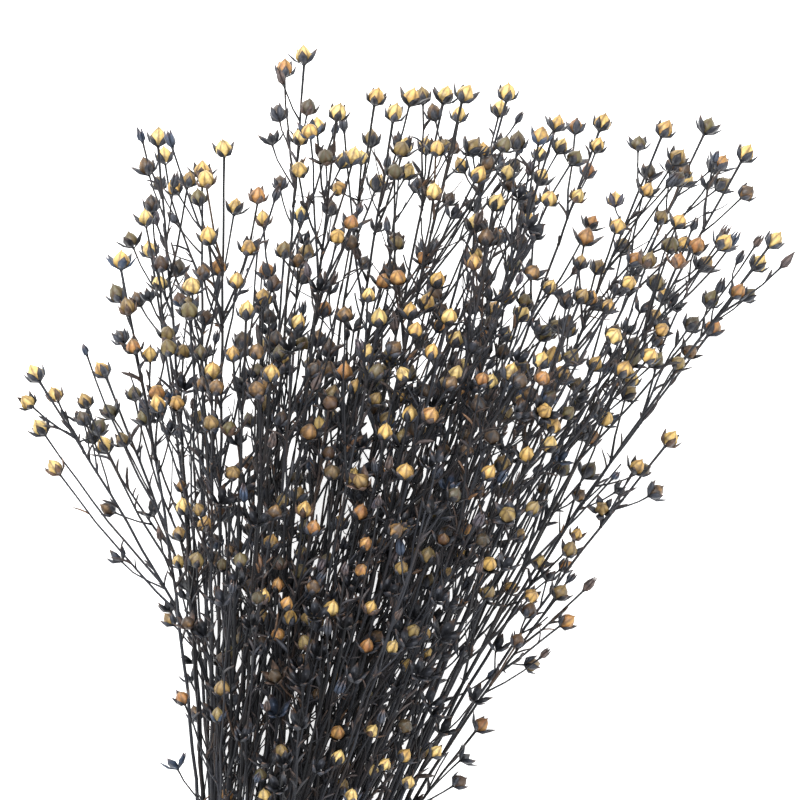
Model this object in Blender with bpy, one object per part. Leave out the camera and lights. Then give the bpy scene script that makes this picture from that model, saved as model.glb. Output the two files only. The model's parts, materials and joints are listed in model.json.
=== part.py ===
"""A tied bunch of dried flax seed heads that lies on a flat surface.

Lengths are in millimetres here and the meshes are written in metres. The bunch lies along
+Y, from the cut ends of its stems to its heads, with +X to the right as it is seen from
above and +Z up. The origin is the flat spot under the tie.
"""

import math
import random

import bmesh
import bpy
import numpy as np

MM = 0.001

# The bundle of stems where it is tied
STEM_PITCH = 2.62
CUT_END_Y = -100.0
CUT_END_SPREAD = 9.0
CUT_END_FLARE = 0.42
CUT_END_LIFT = 3.6
BUNDLE_LEAN = 0.2
TIE_AXIS_Z = 13.0
CELL_REACH = 12

# The tie: turns of twine side by side, pressed flat underneath. The stems run straight for
# half of its width on each side.
TIE_HALF_WIDTH = 11.0
TIE_TURNS = 5
TWINE_RADIUS = 1.25
TURN_PITCH = 2.1
TIE_HOLE_RADIUS = 11.8
TIE_SIDES = 24
TURN_STEPS = 3

# Stems, as the distance from the axis to the corners of a three-sided tube
STEM_RADIUS = 1.1
STEM_TOP_RADIUS = 0.78
BRANCH_RADIUS = 0.68
STALK_RADIUS = 0.47
STEM_STEPS = 5
STEM_CLEARANCE = 0.25
CLEARANCE = 0.35
SPARE_CLEARANCE = 0.05
BEND_ROUNDS = 80
REACH_COST = 0.0012
EDGE_SLOPE_LEFT = -0.02
EDGE_SLOPE_RIGHT = 0.43
BEND_START_Y = 90.0
BEND_POWER = 1.9
STRAY_BEND = -30.0
STRAY_START = 0.6
STRAY_POWER = 1.2
SWAY_SHARE = (0.3, 1.0)
SWAY = 0.006

# The fan of heads above the surface
FAN_LOW_Z = 7.0
FAN_RISE = 0.27
FAN_BASE_HEIGHT = 9.0
HEAD_LOW_Z = 9.0
LOWEST_ROD = 1.6
LOWEST_HEAD = 5.4

# Seed heads: a capsule with a pointed top that stands in five sepals
HEAD_LENGTH = 7.7
HEAD_BASE_RADIUS = 3.6
HEAD_BASE_HEIGHT = 1.1
SEPAL_TIP_RADIUS = 4.5
SEPAL_TIP_HEIGHT = 4.8
HEAD_REST_Z = 3.4
HEAD_MIDDLE = 3.4
BUD_LENGTH = 9.5
BUD_RADIUS = 1.75
BUD_WIDEST = 3.6

# The room that a capsule or a bud takes: where it starts and ends along its axis, and its
# radius
HEAD_ROOM = (2.6, 4.9, 4.75)
BUD_ROOM = (1.8, 8.0, BUD_RADIUS)

# The size of a head against the usual one, on the stem, a branch, a low branch or a stalk
TOP_SIZE = (0.97, 1.05)
BRANCH_SIZE = (0.86, 1.05)
LOW_SIZE = (0.82, 0.96)
STALK_SIZE = (0.84, 1.04)
TOP_LEAN = 0.2

# Where branches, stalks and leaves grow: their angle in degrees, how far back from the
# end of their parent and how far beside it they reach, and how far above it
BRANCH_ANGLE = (11.0, 19.0)
BRANCH_RISE = (-14.0, 8.0)
LOW_ANGLE = (14.0, 24.0)
LOW_RISE = (-5.0, 13.0)
PLACE_SHAKE = 1.5
STALK_ANGLE = (20.0, 36.0)
STALK_BACK = (6.0, 26.0)
STALK_SIDE = (6.5, 11.0)
LEAF_ANGLE = (22.0, 48.0)
LEAF_BACK = (14.0, 70.0)

# Narrow leaves at the forks
LEAF_LENGTH = (9.0, 15.0)
LEAF_WIDTH = 1.9
LEAF_THICKNESS = 0.75
LEAF_RADII = (0.5, 0.9)

SEED = 20
TRIES = 40

# One row a spray: the place of its tip in X and Y, how high it lies in the fan from 0 at
# the surface to 1 on top, and the places in X and Y where its branches end.
SPRAYS = (
    (-27, 430, 0.62, ((-32, 396), (-16, 413))),
    (-11, 419, 0.15, ((-28, 425), (3, 403))),
    (1, 425, 0.80, ((15, 407), (-4, 390))),
    (33, 465, 0.45, ((26, 459), (32, 430))),
    (47, 439, 0.85, ((40, 432), (53, 421))),
    (62, 451, 0.05, ((57, 425), (62, 414))),
    (70, 440, 0.65, ((76, 445), (73, 428))),
    (91, 450, 0.25, ((83, 449), (84, 428))),
    (98, 446, 0.90, ((97, 439), (89, 424))),
    (117, 449, 0.55, ((106, 427), (113, 442))),
    (136, 435, 0.80, ((121, 429), (129, 428))),
    (158, 440, 0.04, ((148, 440), (146, 408))),
    (181, 434, 0.60, ((175, 410), (186, 424))),
    (202, 438, 0.14, ((206, 421), (193, 417))),
    (213, 423, 0.75, ((203, 388), (186, 395))),
    (227, 389, 0.45, ((221, 381), (212, 367))),
    (205, 353, 0.00, ((202, 381), (196, 356))),
    (184, 306, 0.55, ((171, 294),)),
    (138, 242, 0.70, ((139, 230), (120, 221))),
    (105, 186, 0.60, ((89, 177),)),
    (-79, 333, 0.35, ((-71, 325), (-78, 311), (-71, 293))),
    (-53, 335, 0.00, ((-53, 304), (-60, 323))),
    (-42, 379, 0.75, ((-40, 359), (-36, 345))),
    (-33, 386, 0.05, ((-40, 326), (-29, 373))),
    (-4, 334, 0.97, ((-9, 330), (-3, 328))),
    (10, 358, 0.95, ((5, 341), (5, 371))),
    (16, 364, 0.60, ((20, 347), (22, 339))),
    (20, 333, 1.00, ((15, 334), (15, 328))),
    (32, 354, 0.85, ((41, 358), (38, 347))),
    (43, 343, 0.55, ((38, 334), (35, 323))),
    (64, 355, 0.98, ((61, 364), (51, 356))),
    (58, 341, 0.90, ((51, 334), (58, 332))),
    (68, 339, 0.70, ((75, 333), (71, 324))),
    (77, 358, 0.95, ((82, 360), (78, 350))),
    (92, 356, 0.98, ((85, 356), (84, 343))),
    (95, 347, 0.80, ((98, 338), (96, 332))),
    (111, 360, 0.12, ((104, 361), (117, 350))),
    (122, 358, 0.62, ((117, 364), (132, 349))),
    (117, 333, 0.96, ((111, 330), (122, 336))),
    (130, 338, 0.92, ((129, 331), (135, 341))),
    (142, 340, 0.80, ((140, 333), (153, 336))),
    (146, 365, 0.90, ((146, 378), (157, 361))),
    (124, 398, 0.35, ((128, 408), (124, 388))),
    (44, 324, 0.80, ((54, 326), (40, 313))),
    (103, 320, 0.60, ((97, 324), (88, 319))),
    (78, 316, 0.98, ((67, 309), (74, 294))),
    (133, 304, 0.90, ((125, 299), (115, 295))),
    (24, 385, 0.28, ((15, 398), (30, 400))),
    (153, 306, 0.03, ((151, 292), (147, 320))),
    (-16, 278, 0.85, ((-8, 271), (-18, 267))),
    (-3, 274, 0.40, ((-20, 253), (-6, 253))),
    (33, 277, 0.97, ((30, 283), (37, 271))),
    (57, 276, 0.99, ((64, 293), (53, 290))),
    (111, 403, 0.80, ((117, 417), (102, 393))),
    (84, 258, 0.95, ((72, 253), (73, 268))),
    (46, 236, 1.03, ((26, 232), (34, 233))),
)

# The places in X and Y of the heads that stand on short side branches far below the tops
LOW_HEADS = (
    (47, 174), (52, 157), (75, 162), (61, 187), (65, 170), (17, 158), (88, 177),
    (60, 167), (69, 222), (59, 236), (39, 229), (25, 238), (-16, 199), (-3, 213),
    (-2, 191), (4, 222), (82, 217), (74, 212), (83, 226), (58, 198), (47, 205),
    (97, 258), (109, 242), (118, 244), (131, 253), (147, 266), (36, 171), (23, 177),
    (-32, 316), (9, 285), (24, 280), (31, 260), (42, 256), (49, 246), (52, 300),
)
LOW_HEAD_SIDE = (4.0, 24.0)
LOW_HEAD_DROP = 60.0
LOW_HEAD_TRIES = 6


def unit(vector):
    """The vector at length 1."""
    return vector / np.linalg.norm(vector)


def square_to(direction, along):
    """The part of a direction that is square to another, at length 1."""
    return unit(direction - along * (direction @ along))


def spans(p0, p1, q0, q1):
    """The shortest steps to one segment from each segment of two arrays of ends."""
    d1 = p1 - p0
    d2 = q1 - q0
    r = p0 - q0
    a = d1 @ d1
    e = (d2 * d2).sum(1)
    f = (d2 * r).sum(1)
    c = r @ d1
    b = d2 @ d1
    denominator = a * e - b * b
    parallel = denominator < 1e-9
    s = np.where(parallel, 0.0, (b * f - c * e) / np.where(parallel, 1.0, denominator))
    s = np.clip(s, 0.0, 1.0)
    t = np.clip((b * s + f) / e, 0.0, 1.0)
    s = np.clip((b * t - c) / a, 0.0, 1.0)
    return (p0 + s[:, None] * d1) - (q0 + t[:, None] * d2)


class Room:
    """The rods and heads placed so far, as segments with a radius."""

    def __init__(self):
        """Starts with nothing placed."""
        self.ends = np.zeros((0, 2, 3))
        self.radii = np.zeros(0)
        self.owners = np.zeros(0, int)
        self.is_head = np.zeros(0, bool)

    def add(self, rods, owner):
        """Notes the segments of a rod that has been placed."""
        for start, end, radius, is_head in rods:
            self.ends = np.concatenate([self.ends, [[start, end]]])
            self.radii = np.append(self.radii, radius)
            self.owners = np.append(self.owners, owner)
            self.is_head = np.append(self.is_head, is_head)

    def lack(self, low, high, radius, clearance):
        """How much of the gap round a segment is missing at worst, and the way out."""
        apart = spans(low, high, self.ends[:, 0], self.ends[:, 1])
        near = np.sqrt((apart * apart).sum(1))
        missing = self.radii + radius + clearance + SPARE_CLEARANCE - near
        worst = int(np.argmax(missing))
        return missing[worst], apart[worst] / near[worst]

    def is_free(self, rods, owner, clearance=CLEARANCE):
        """Whether the rods keep clear of other sprays, and its heads of their own spray."""
        others = self.owners != owner
        for start, end, radius, is_head in rods:
            minded = others | self.is_head | is_head
            if not minded.any():
                continue
            apart = spans(start, end, self.ends[minded, 0], self.ends[minded, 1])
            near = np.sqrt((apart * apart).sum(1))
            if (near < self.radii[minded] + radius + clearance).any():
                return False
        return True


class Rod:
    """A stem, branch or stalk: a smooth path that may end in a head."""

    def __init__(self, points, radii, up, ending=None, size=1.0, axis=None):
        """Takes its path, the radius at each point of it, and what it ends in."""
        self.points = np.array(points, float)
        self.radii = list(radii)
        self.up = up
        self.ending = ending
        self.size = size
        self.axis = axis

    def along(self, back):
        """The point and direction at a distance back from the far end."""
        left = back
        for index in range(len(self.points) - 1, 0, -1):
            step = self.points[index] - self.points[index - 1]
            length = np.linalg.norm(step)
            if left <= length or index == 1:
                share = min(left / length, 0.97)
                return self.points[index] - step * share, step / length
            left -= length
        return self.points[0], unit(self.points[1] - self.points[0])

    def rods(self):
        """Its segments for the clearance test."""
        found = []
        for index in range(len(self.points) - 1):
            start = self.points[index]
            end = self.points[index + 1]
            found.append((start, end, max(self.radii[index:index + 2]), False))
        if self.ending in ("capsule", "bud"):
            low, high, radius = HEAD_ROOM if self.ending == "capsule" else BUD_ROOM
            found.append((self.points[-1] + self.axis * low * self.size,
                          self.points[-1] + self.axis * high * self.size,
                          radius * self.size, True))
        return found


def bundle_cells(count):
    """The places of the stems in the tie: a hexagonal packing, the nearest to the middle first."""
    cells = []
    for row in range(-CELL_REACH, CELL_REACH + 1):
        for column in range(-CELL_REACH, CELL_REACH + 1):
            x = STEM_PITCH * (column + 0.5 * (row % 2) + 0.21)
            z = STEM_PITCH * math.sqrt(0.75) * (row + 0.17)
            cells.append((math.hypot(x, z), x, z))
    cells.sort()
    return np.array([(x, z) for _, x, z in cells[:count]])


def start_slope(tip):
    return min(max(tip[0] / tip[1], EDGE_SLOPE_LEFT), EDGE_SLOPE_RIGHT)


def tip_of(row):
    x, y, lift = row[:3]
    if lift == 0:
        return np.array((x, y, HEAD_REST_Z), float)
    return np.array((x, y, FAN_LOW_Z + lift * (FAN_BASE_HEIGHT + FAN_RISE * y)), float)


def fitted_cells(tips):
    """One cell a stem, swapped until no two stems draw nearer as they leave the tie."""
    cells = bundle_cells(len(tips))
    slopes = np.array([(start_slope(t), (t[2] - TIE_AXIS_Z) / t[1]) for t in tips])
    order = list(range(len(tips)))
    swapped = True
    while swapped:
        swapped = False
        for i in range(len(tips)):
            for j in range(i):
                turn = (cells[order[i]] - cells[order[j]]) @ (slopes[i] - slopes[j])
                if turn < -1e-9:
                    order[i], order[j] = order[j], order[i]
                    swapped = True
    return cells[order]


def main_stem(tip, cell, rng):
    """The stem from its cut end through the tie to its tip."""
    x0, z0 = cell
    slope = start_slope(tip)
    cut = CUT_END_Y + rng.uniform(-CUT_END_SPREAD, CUT_END_SPREAD)
    flare = 1.0 + CUT_END_FLARE
    low_z = TIE_AXIS_Z + CUT_END_LIFT + z0 * flare
    points = [np.array((x0 * flare + BUNDLE_LEAN * cut, cut, low_z))]
    for y in (-TIE_HALF_WIDTH, TIE_HALF_WIDTH):
        points.append(np.array((x0 + BUNDLE_LEAN * y, y, TIE_AXIS_Z + z0)))
    reach = tip[1] - TIE_HALF_WIDTH
    start_x = x0 + BUNDLE_LEAN * TIE_HALF_WIDTH
    bend = tip[0] - (start_x + slope * reach)
    rise = tip[2] - (TIE_AXIS_Z + z0)
    sway = rng.uniform(0.0, 2 * math.pi)
    wide = rng.uniform(*SWAY_SHARE) * SWAY
    bend_start = BEND_START_Y
    power = BEND_POWER
    if bend < STRAY_BEND:
        bend_start = STRAY_START * tip[1]
        power = STRAY_POWER
    for step in range(1, STEM_STEPS + 1):
        y = TIE_HALF_WIDTH + reach * step / STEM_STEPS
        part = max(0.0, y - bend_start) / (tip[1] - bend_start)
        x = start_x + slope * (y - TIE_HALF_WIDTH) + bend * part ** power
        z = TIE_AXIS_Z + z0 + rise * (y - TIE_HALF_WIDTH) / reach
        swing = wide * y * math.sin(math.pi * step / STEM_STEPS)
        points.append(np.array((x + swing * math.cos(sway), y, z + swing * math.sin(sway))))
    count = len(points) - 1
    radii = [STEM_RADIUS + (STEM_TOP_RADIUS - STEM_RADIUS) * i / count for i in range(count)]
    return points, radii + [STALK_RADIUS]


def lead_in(origin, tangent, target, rng):
    """A smooth path from a parent to a target, with its end direction."""
    reach = target - origin
    length = np.linalg.norm(reach)
    ahead = reach / length
    out = ahead - tangent * (ahead @ tangent)
    start = unit(ahead + 0.4 * out)
    wander = np.array([rng.uniform(-1, 1) for _ in range(3)])
    end = unit(ahead + 0.55 * tangent + 0.22 * wander)
    return (origin, origin + start * length / 3, target - end * length / 3, target), end


def bezier(frame, t):
    a, b, c, d = frame
    s = 1.0 - t
    return a * s ** 3 + b * 3 * s * s * t + c * 3 * s * t * t + d * t ** 3


def fork_toward(parent, target, angle):
    """The place on a parent from which a path to the target leaves at about the angle."""
    best = None
    back = 4.0
    limit = np.linalg.norm(np.diff(parent.points, axis=0), axis=1)[2:].sum() - 20.0
    if len(parent.points) < 7:
        limit = np.linalg.norm(np.diff(parent.points, axis=0), axis=1).sum() * 0.85
    while back < limit:
        origin, tangent = parent.along(back)
        reach = target - origin
        length = np.linalg.norm(reach)
        off = math.acos(max(-1.0, min(1.0, reach @ tangent / length)))
        score = abs(off - angle) + REACH_COST * length
        if best is None or score < best[0]:
            best = (score, back, origin, tangent)
        back += 2.0
    return best[2], best[3]


def grow(parent, target, angle, steps, radii, ending, size, rng):
    origin, tangent = fork_toward(parent, target, angle)
    frame, end = lead_in(origin, tangent, target, rng)
    points = [bezier(frame, i / steps) for i in range(steps + 1)]
    up = square_to(parent.up, unit(points[1] - points[0]))
    return Rod(points, radii, up, ending, size, end)


class Spray:
    """One plant: its stem, its branches, and the stalks that carry its heads."""

    def __init__(self, index, row, cell):
        """Lays the main stem of the row's spray from its cell in the tie."""
        self.index = index
        self.rng = random.Random(SEED * 1000 + index)
        self.tip = tip_of(row)
        self.ends = row[3]
        points, radii = main_stem(self.tip, cell, self.rng)
        self.main = Rod(points, radii, np.array((0.0, 0.0, 1.0)), "capsule")
        lean = self.shake(TOP_LEAN)
        if self.tip[2] == HEAD_REST_Z:
            lean[2] = 0.0
        self.main.axis = unit(unit(points[-1] - points[-2]) + lean)
        self.main.size = self.rng.uniform(*TOP_SIZE)
        self.rod_list = [self.main]
        self.low_head = None

    def shake(self, amount):
        """A random step of up to the amount along each axis."""
        return np.array([self.rng.uniform(-amount, amount) for _ in range(3)])

    def bend_clear(self, room):
        """Moves the stem's upper points away from the stems before it that it comes near."""
        if not self.index:
            room.add(self.main.rods(), self.index)
            return
        points = self.main.points
        sideways = np.array((1.0, 0.0, 1.0))
        for _ in range(BEND_ROUNDS):
            moved = False
            for index in range(2, len(points) - 1):
                lack, away = room.lack(points[index], points[index + 1],
                                       self.main.radii[index], STEM_CLEARANCE)
                if lack <= 0.0:
                    continue
                push = away * (lack + 0.15) * sideways
                moved = True
                if index > 2:
                    points[index] += push
                if index < len(points) - 2:
                    points[index + 1] += push
            low, high, radius, _ = self.main.rods()[-1]
            lack, away = room.lack(low, high, radius, CLEARANCE)
            if lack > 0.0:
                moved = True
                points[-1] += away * (lack + 0.2) * sideways
            if not moved:
                break
        if not room.is_free(self.main.rods(), self.index, STEM_CLEARANCE):
            print("stem", self.index, "is not clear")
        room.add(self.main.rods(), self.index)

    def is_above_surface(self, rod):
        """Whether a rod and its head keep off the surface."""
        lowest = rod.points[1:, 2].min()
        if rod.ending == "capsule":
            head = rod.points[-1] + rod.axis * HEAD_MIDDLE * rod.size
            return lowest > LOWEST_ROD and head[2] > LOWEST_HEAD
        return lowest > LOWEST_ROD

    def try_rod(self, room, make):
        """Draws a rod again until it fits, and adds it."""
        for _ in range(TRIES):
            rod = make()
            if self.is_above_surface(rod) and room.is_free(rod.rods(), self.index):
                room.add(rod.rods(), self.index)
                self.rod_list.append(rod)
                return rod
        return None

    def beside(self, parent, back, side, turn):
        """The place at a distance back along a parent, and a distance to its side."""
        here, ahead = parent.along(back)
        across = square_to(np.array((1.0, 0.0, 0.0)), ahead)
        over = np.cross(ahead, across)
        return here + across * side * math.cos(turn) + over * side * math.sin(turn)

    def branch(self, room, place):
        """A branch near the top that ends at a place in X and Y, with one head."""
        def make():
            here = self.tip[2] + self.rng.uniform(*BRANCH_RISE)
            target = np.array((*place, max(here, HEAD_LOW_Z)), float)
            target += self.shake(PLACE_SHAKE)
            angle = math.radians(self.rng.uniform(*BRANCH_ANGLE))
            radii = [BRANCH_RADIUS, BRANCH_RADIUS, BRANCH_RADIUS - 0.06, STALK_RADIUS]
            size = self.rng.uniform(*BRANCH_SIZE)
            return grow(self.main, target, angle, 3, radii, "capsule", size, self.rng)
        return self.try_rod(room, make)

    def height_at(self, y):
        """Where the stem passes a distance along the bunch: its X and Z there."""
        points = self.main.points
        return np.array([np.interp(y, points[:, 1], points[:, axis]) for axis in (0, 2)])

    def low_branch(self, room):
        """A short side branch far below the top, with one head."""
        def make():
            here = self.height_at(self.low_head[1])[1] + self.rng.uniform(*LOW_RISE)
            target = np.array((*self.low_head, max(here, HEAD_LOW_Z)), float)
            target += self.shake(PLACE_SHAKE)
            angle = math.radians(self.rng.uniform(*LOW_ANGLE))
            radii = [BRANCH_RADIUS, BRANCH_RADIUS, STALK_RADIUS]
            size = self.rng.uniform(*LOW_SIZE)
            return grow(self.main, target, angle, 2, radii, "capsule", size, self.rng)
        return self.try_rod(room, make)

    def stalk(self, room, parent, ending):
        """A thin stalk with a capsule or a bud near the end of a parent."""
        def make():
            back = self.rng.uniform(*STALK_BACK)
            side = self.rng.uniform(*STALK_SIDE)
            target = self.beside(parent, back, side, self.rng.uniform(0.0, 2 * math.pi))
            angle = math.radians(self.rng.uniform(*STALK_ANGLE))
            size = self.rng.uniform(*STALK_SIZE)
            return grow(parent, target, angle, 1, [STALK_RADIUS] * 2, ending, size, self.rng)
        return self.try_rod(room, make)

    def leaf(self, room, parent):
        """A narrow leaf on a parent."""
        def make():
            back = self.rng.uniform(*LEAF_BACK)
            length = self.rng.uniform(*LEAF_LENGTH)
            turn = self.rng.uniform(0.0, 2 * math.pi)
            lean = math.radians(self.rng.uniform(*LEAF_ANGLE))
            here, ahead = parent.along(back)
            across = square_to(np.array((1.0, 0.0, 0.0)), ahead)
            over = np.cross(ahead, across)
            out = across * math.cos(turn) + over * math.sin(turn)
            tip = here + (ahead * math.cos(lean) + out * math.sin(lean)) * length
            up = square_to(parent.up, unit(tip - here))
            return Rod([here, tip], LEAF_RADII, up, "leaf")
        return self.try_rod(room, make)

    def fill(self, room):
        """Adds the branches, the stalks and one leaf."""
        branches = []
        for place in self.ends:
            made = self.branch(room, place)
            if made is not None:
                branches.append(made)
        for parent in [self.main] + branches[:1]:
            self.stalk(room, parent, "capsule")
        if self.index % 3 == 0:
            self.stalk(room, self.main, "bud")
        self.leaf(room, (branches + [self.main])[0 if self.index % 2 else -1])


def share_low_heads(sprays, room):
    """Grows each low head from the highest stem that passes beside it and can carry it."""
    for place in LOW_HEADS:
        found = []
        for spray in sprays:
            if spray.low_head is not None or spray.tip[1] < place[1] + LOW_HEAD_DROP:
                continue
            x, z = spray.height_at(place[1])
            side = abs(x - place[0])
            if LOW_HEAD_SIDE[0] <= side <= LOW_HEAD_SIDE[1]:
                found.append((side - z, spray.index, spray))
        for _, _, spray in sorted(found)[:LOW_HEAD_TRIES]:
            spray.low_head = place
            if spray.low_branch(room) is not None:
                break
            spray.low_head = None


def ring(center, along, up, radius, count, turn=0.0):
    """The corners of a polygon square to a direction."""
    across = np.cross(along, up)
    spots = []
    for index in range(count):
        angle = turn + 2 * math.pi * index / count
        spots.append(center + (up * math.cos(angle) + across * math.sin(angle)) * radius)
    return spots


def bridge(mesh, low, high):
    """Joins two rings: with flat quads where they match, or else with triangles."""
    if len(low) == len(high) == 3:
        for index in range(3):
            after = (index + 1) % 3
            mesh.faces.new((low[index], low[after], high[after], high[index]))
        return
    i = 0
    j = 0
    m = len(low)
    n = len(high)
    while i < m or j < n:
        if j == n or (i < m and (i + 1) / m <= (j + 0.999) / n):
            mesh.faces.new((low[i % m], low[(i + 1) % m], high[j % n]))
            i += 1
        else:
            mesh.faces.new((low[i % m], high[(j + 1) % n], high[j % n]))
            j += 1


def tube_mesh(rod):
    """The closed mesh of one stem, branch, stalk or leaf with what it carries."""
    mesh = bmesh.new()
    points = rod.points
    up = rod.up
    rings = []
    for index, point in enumerate(points):
        before = points[index] - points[index - 1] if index else points[1] - points[0]
        after = points[index + 1] - points[index] if index < len(points) - 1 else before
        along = unit(unit(before) + unit(after))
        up = square_to(up, along)
        if rod.ending == "leaf" and index == 1:
            break
        rings.append([mesh.verts.new(p) for p in ring(point, along, up, rod.radii[index], 3)])
    mesh.faces.new(rings[0])
    for low, high in zip(rings, rings[1:]):
        bridge(mesh, low, high)
    last = rings[-1]
    end = points[-1]
    if rod.ending == "capsule":
        axis = rod.axis
        up = square_to(up, axis)
        size = rod.size
        base = ring(end + axis * HEAD_BASE_HEIGHT * size, axis, up, HEAD_BASE_RADIUS * size, 5)
        tips = ring(end + axis * SEPAL_TIP_HEIGHT * size, axis, up, SEPAL_TIP_RADIUS * size, 5,
                    math.pi / 5)
        base = [mesh.verts.new(p) for p in base]
        tips = [mesh.verts.new(p) for p in tips]
        point = mesh.verts.new(end + axis * HEAD_LENGTH * size)
        bridge(mesh, last, base)
        bridge(mesh, base, tips)
        for index in range(5):
            mesh.faces.new((tips[index], tips[(index + 1) % 5], point))
    elif rod.ending == "bud":
        axis = rod.axis
        up = square_to(up, axis)
        wide = ring(end + axis * BUD_WIDEST * rod.size, axis, up, BUD_RADIUS * rod.size, 3)
        wide = [mesh.verts.new(p) for p in wide]
        point = mesh.verts.new(end + axis * BUD_LENGTH * rod.size)
        bridge(mesh, last, wide)
        for index in range(3):
            mesh.faces.new((wide[index], wide[(index + 1) % 3], point))
    elif rod.ending == "leaf":
        along = unit(points[1] - points[0])
        across = np.cross(along, up)
        middle = points[0] + (points[1] - points[0]) * 0.55
        wide = (
            middle + up * LEAF_THICKNESS * 0.6,
            middle + across * LEAF_WIDTH / 2 - up * LEAF_THICKNESS * 0.4,
            middle - across * LEAF_WIDTH / 2 - up * LEAF_THICKNESS * 0.4,
        )
        wide = [mesh.verts.new(p) for p in wide]
        point = mesh.verts.new(points[1])
        bridge(mesh, last, wide)
        for index in range(3):
            mesh.faces.new((wide[index], wide[(index + 1) % 3], point))
    else:
        mesh.faces.new(reversed(last))
    bmesh.ops.recalc_face_normals(mesh, faces=mesh.faces)
    for vertex in mesh.verts:
        vertex.co.z = max(vertex.co.z, 0.0)
    return mesh


def mesh_object(name, mesh):
    """Writes a bmesh in millimetres to a new object in metres."""
    bmesh.ops.scale(mesh, vec=(MM, MM, MM), verts=mesh.verts)
    data = bpy.data.meshes.new(name)
    mesh.to_mesh(data)
    mesh.free()
    return bpy.data.objects.new(name, data)


def joined(name, pieces):
    """One mesh of the first object and all the others, by a single union."""
    base = pieces[0]
    bpy.context.scene.collection.objects.link(base)
    group = bpy.data.collections.new(name + "_repeats")
    bpy.context.scene.collection.children.link(group)
    for piece in pieces[1:]:
        group.objects.link(piece)
    union = base.modifiers.new("union", "BOOLEAN")
    union.operation = "UNION"
    union.operand_type = "COLLECTION"
    union.collection = group
    union.solver = "MANIFOLD"
    graph = bpy.context.evaluated_depsgraph_get()
    data = bpy.data.meshes.new_from_object(base.evaluated_get(graph))
    data.name = name
    base.modifiers.clear()
    old = base.data
    base.data = data
    bpy.data.meshes.remove(old)
    for piece in pieces[1:]:
        bpy.data.objects.remove(piece, do_unlink=True)
    bpy.data.collections.remove(group)
    base.name = name
    return base


def material(name, color, roughness):
    """A plain material with the part's colour and roughness."""
    made = bpy.data.materials.new(name)
    made.use_nodes = True
    shader = made.node_tree.nodes["Principled BSDF"]
    shader.inputs["Base Color"].default_value = (*color, 1.0)
    shader.inputs["Roughness"].default_value = roughness
    shader.inputs["Metallic"].default_value = 0.0
    return made


def tie_object():
    """The band of twine: a turned profile of rounded ridges, clipped flat at the surface."""
    profile = []
    start = -(TIE_TURNS - 1) / 2 * TURN_PITCH
    axis_radius = TIE_HOLE_RADIUS + TWINE_RADIUS
    crease = math.acos(TURN_PITCH / 2 / TWINE_RADIUS)
    for turn in range(TIE_TURNS):
        middle = start + turn * TURN_PITCH
        first = math.pi if turn == 0 else math.pi - crease
        last = 0.0 if turn == TIE_TURNS - 1 else crease
        begin = 0 if turn == 0 else 1
        for step in range(begin, TURN_STEPS + 1):
            angle = first + (last - first) * step / TURN_STEPS
            profile.append((middle + TWINE_RADIUS * math.cos(angle),
                            axis_radius + TWINE_RADIUS * math.sin(angle)))
    half = -profile[0][0]
    profile.append((half - 0.7, TIE_HOLE_RADIUS))
    profile.append((-half + 0.7, TIE_HOLE_RADIUS))
    mesh = bmesh.new()
    loops = []
    lean = math.atan(BUNDLE_LEAN)
    for side in range(TIE_SIDES):
        angle = 2 * math.pi * (side + 0.5) / TIE_SIDES
        loop = []
        for along, radius in profile:
            across = radius * math.sin(angle)
            x = across * math.cos(lean) + along * math.sin(lean)
            y = along * math.cos(lean) - across * math.sin(lean)
            z = TIE_AXIS_Z - radius * math.cos(angle)
            loop.append(mesh.verts.new((x, y, max(z, 0.0))))
        loops.append(loop)
    for side in range(TIE_SIDES):
        low = loops[side]
        high = loops[(side + 1) % TIE_SIDES]
        for index in range(len(profile)):
            after = (index + 1) % len(profile)
            mesh.faces.new((low[index], low[after], high[after], high[index]))
    bmesh.ops.recalc_face_normals(mesh, faces=mesh.faces)
    tie = mesh_object("tie", mesh)
    bpy.context.scene.collection.objects.link(tie)
    for polygon in tie.data.polygons:
        polygon.use_smooth = True
    tie.data.materials.append(material("twine", (0.42, 0.30, 0.17), 0.9))
    return tie


def main():
    """Grows the sprays, makes one solid of each and adds the tie."""
    for old in list(bpy.data.objects):
        bpy.data.objects.remove(old, do_unlink=True)
    tips = [tip_of(row) for row in SPRAYS]
    cells = fitted_cells(tips)
    room = Room()
    sprays = [Spray(i, row, cell) for i, (row, cell) in enumerate(zip(SPRAYS, cells))]
    for spray in sprays:
        spray.bend_clear(room)
    for spray in sprays:
        spray.fill(room)
    share_low_heads(sprays, room)
    tie_object()
    heads = 0
    faces = 0
    for spray in sprays:
        pieces = []
        for number, rod in enumerate(spray.rod_list):
            pieces.append(mesh_object(f"piece_{number}", tube_mesh(rod)))
        name = f"spray_{spray.index + 1:02d}"
        made = joined(name, pieces)
        made.data.materials.clear()
        shade = 0.03 + 0.004 * (spray.index % 5)
        made.data.materials.append(material(name, (shade, shade * 0.97, shade * 1.1), 0.75))
        heads += sum(rod.ending == "capsule" for rod in spray.rod_list)
        faces += sum(len(polygon.vertices) - 2 for polygon in made.data.polygons)
    print("sprays", len(sprays), "heads", heads, "triangles", faces)


main()
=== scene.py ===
"""A tied bunch of dried flax, dyed black, with its straw-coloured seed capsules.

The bunch lies on a pale floor, from the cut ends of its stems to its heads along +Y, with +X to
the right as the camera sees it from straight above. Growth is worked out in millimetres by the
same rules and seeded draws as the solids, so each fine stem lies in its solid, and finer growth
is then added in the room that is left. Meshes are written in metres.
"""

import json
import logging
import math
import random
from dataclasses import dataclass, field, replace
from enum import Enum
from functools import partial
from typing import Callable, Iterable, Sequence

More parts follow.
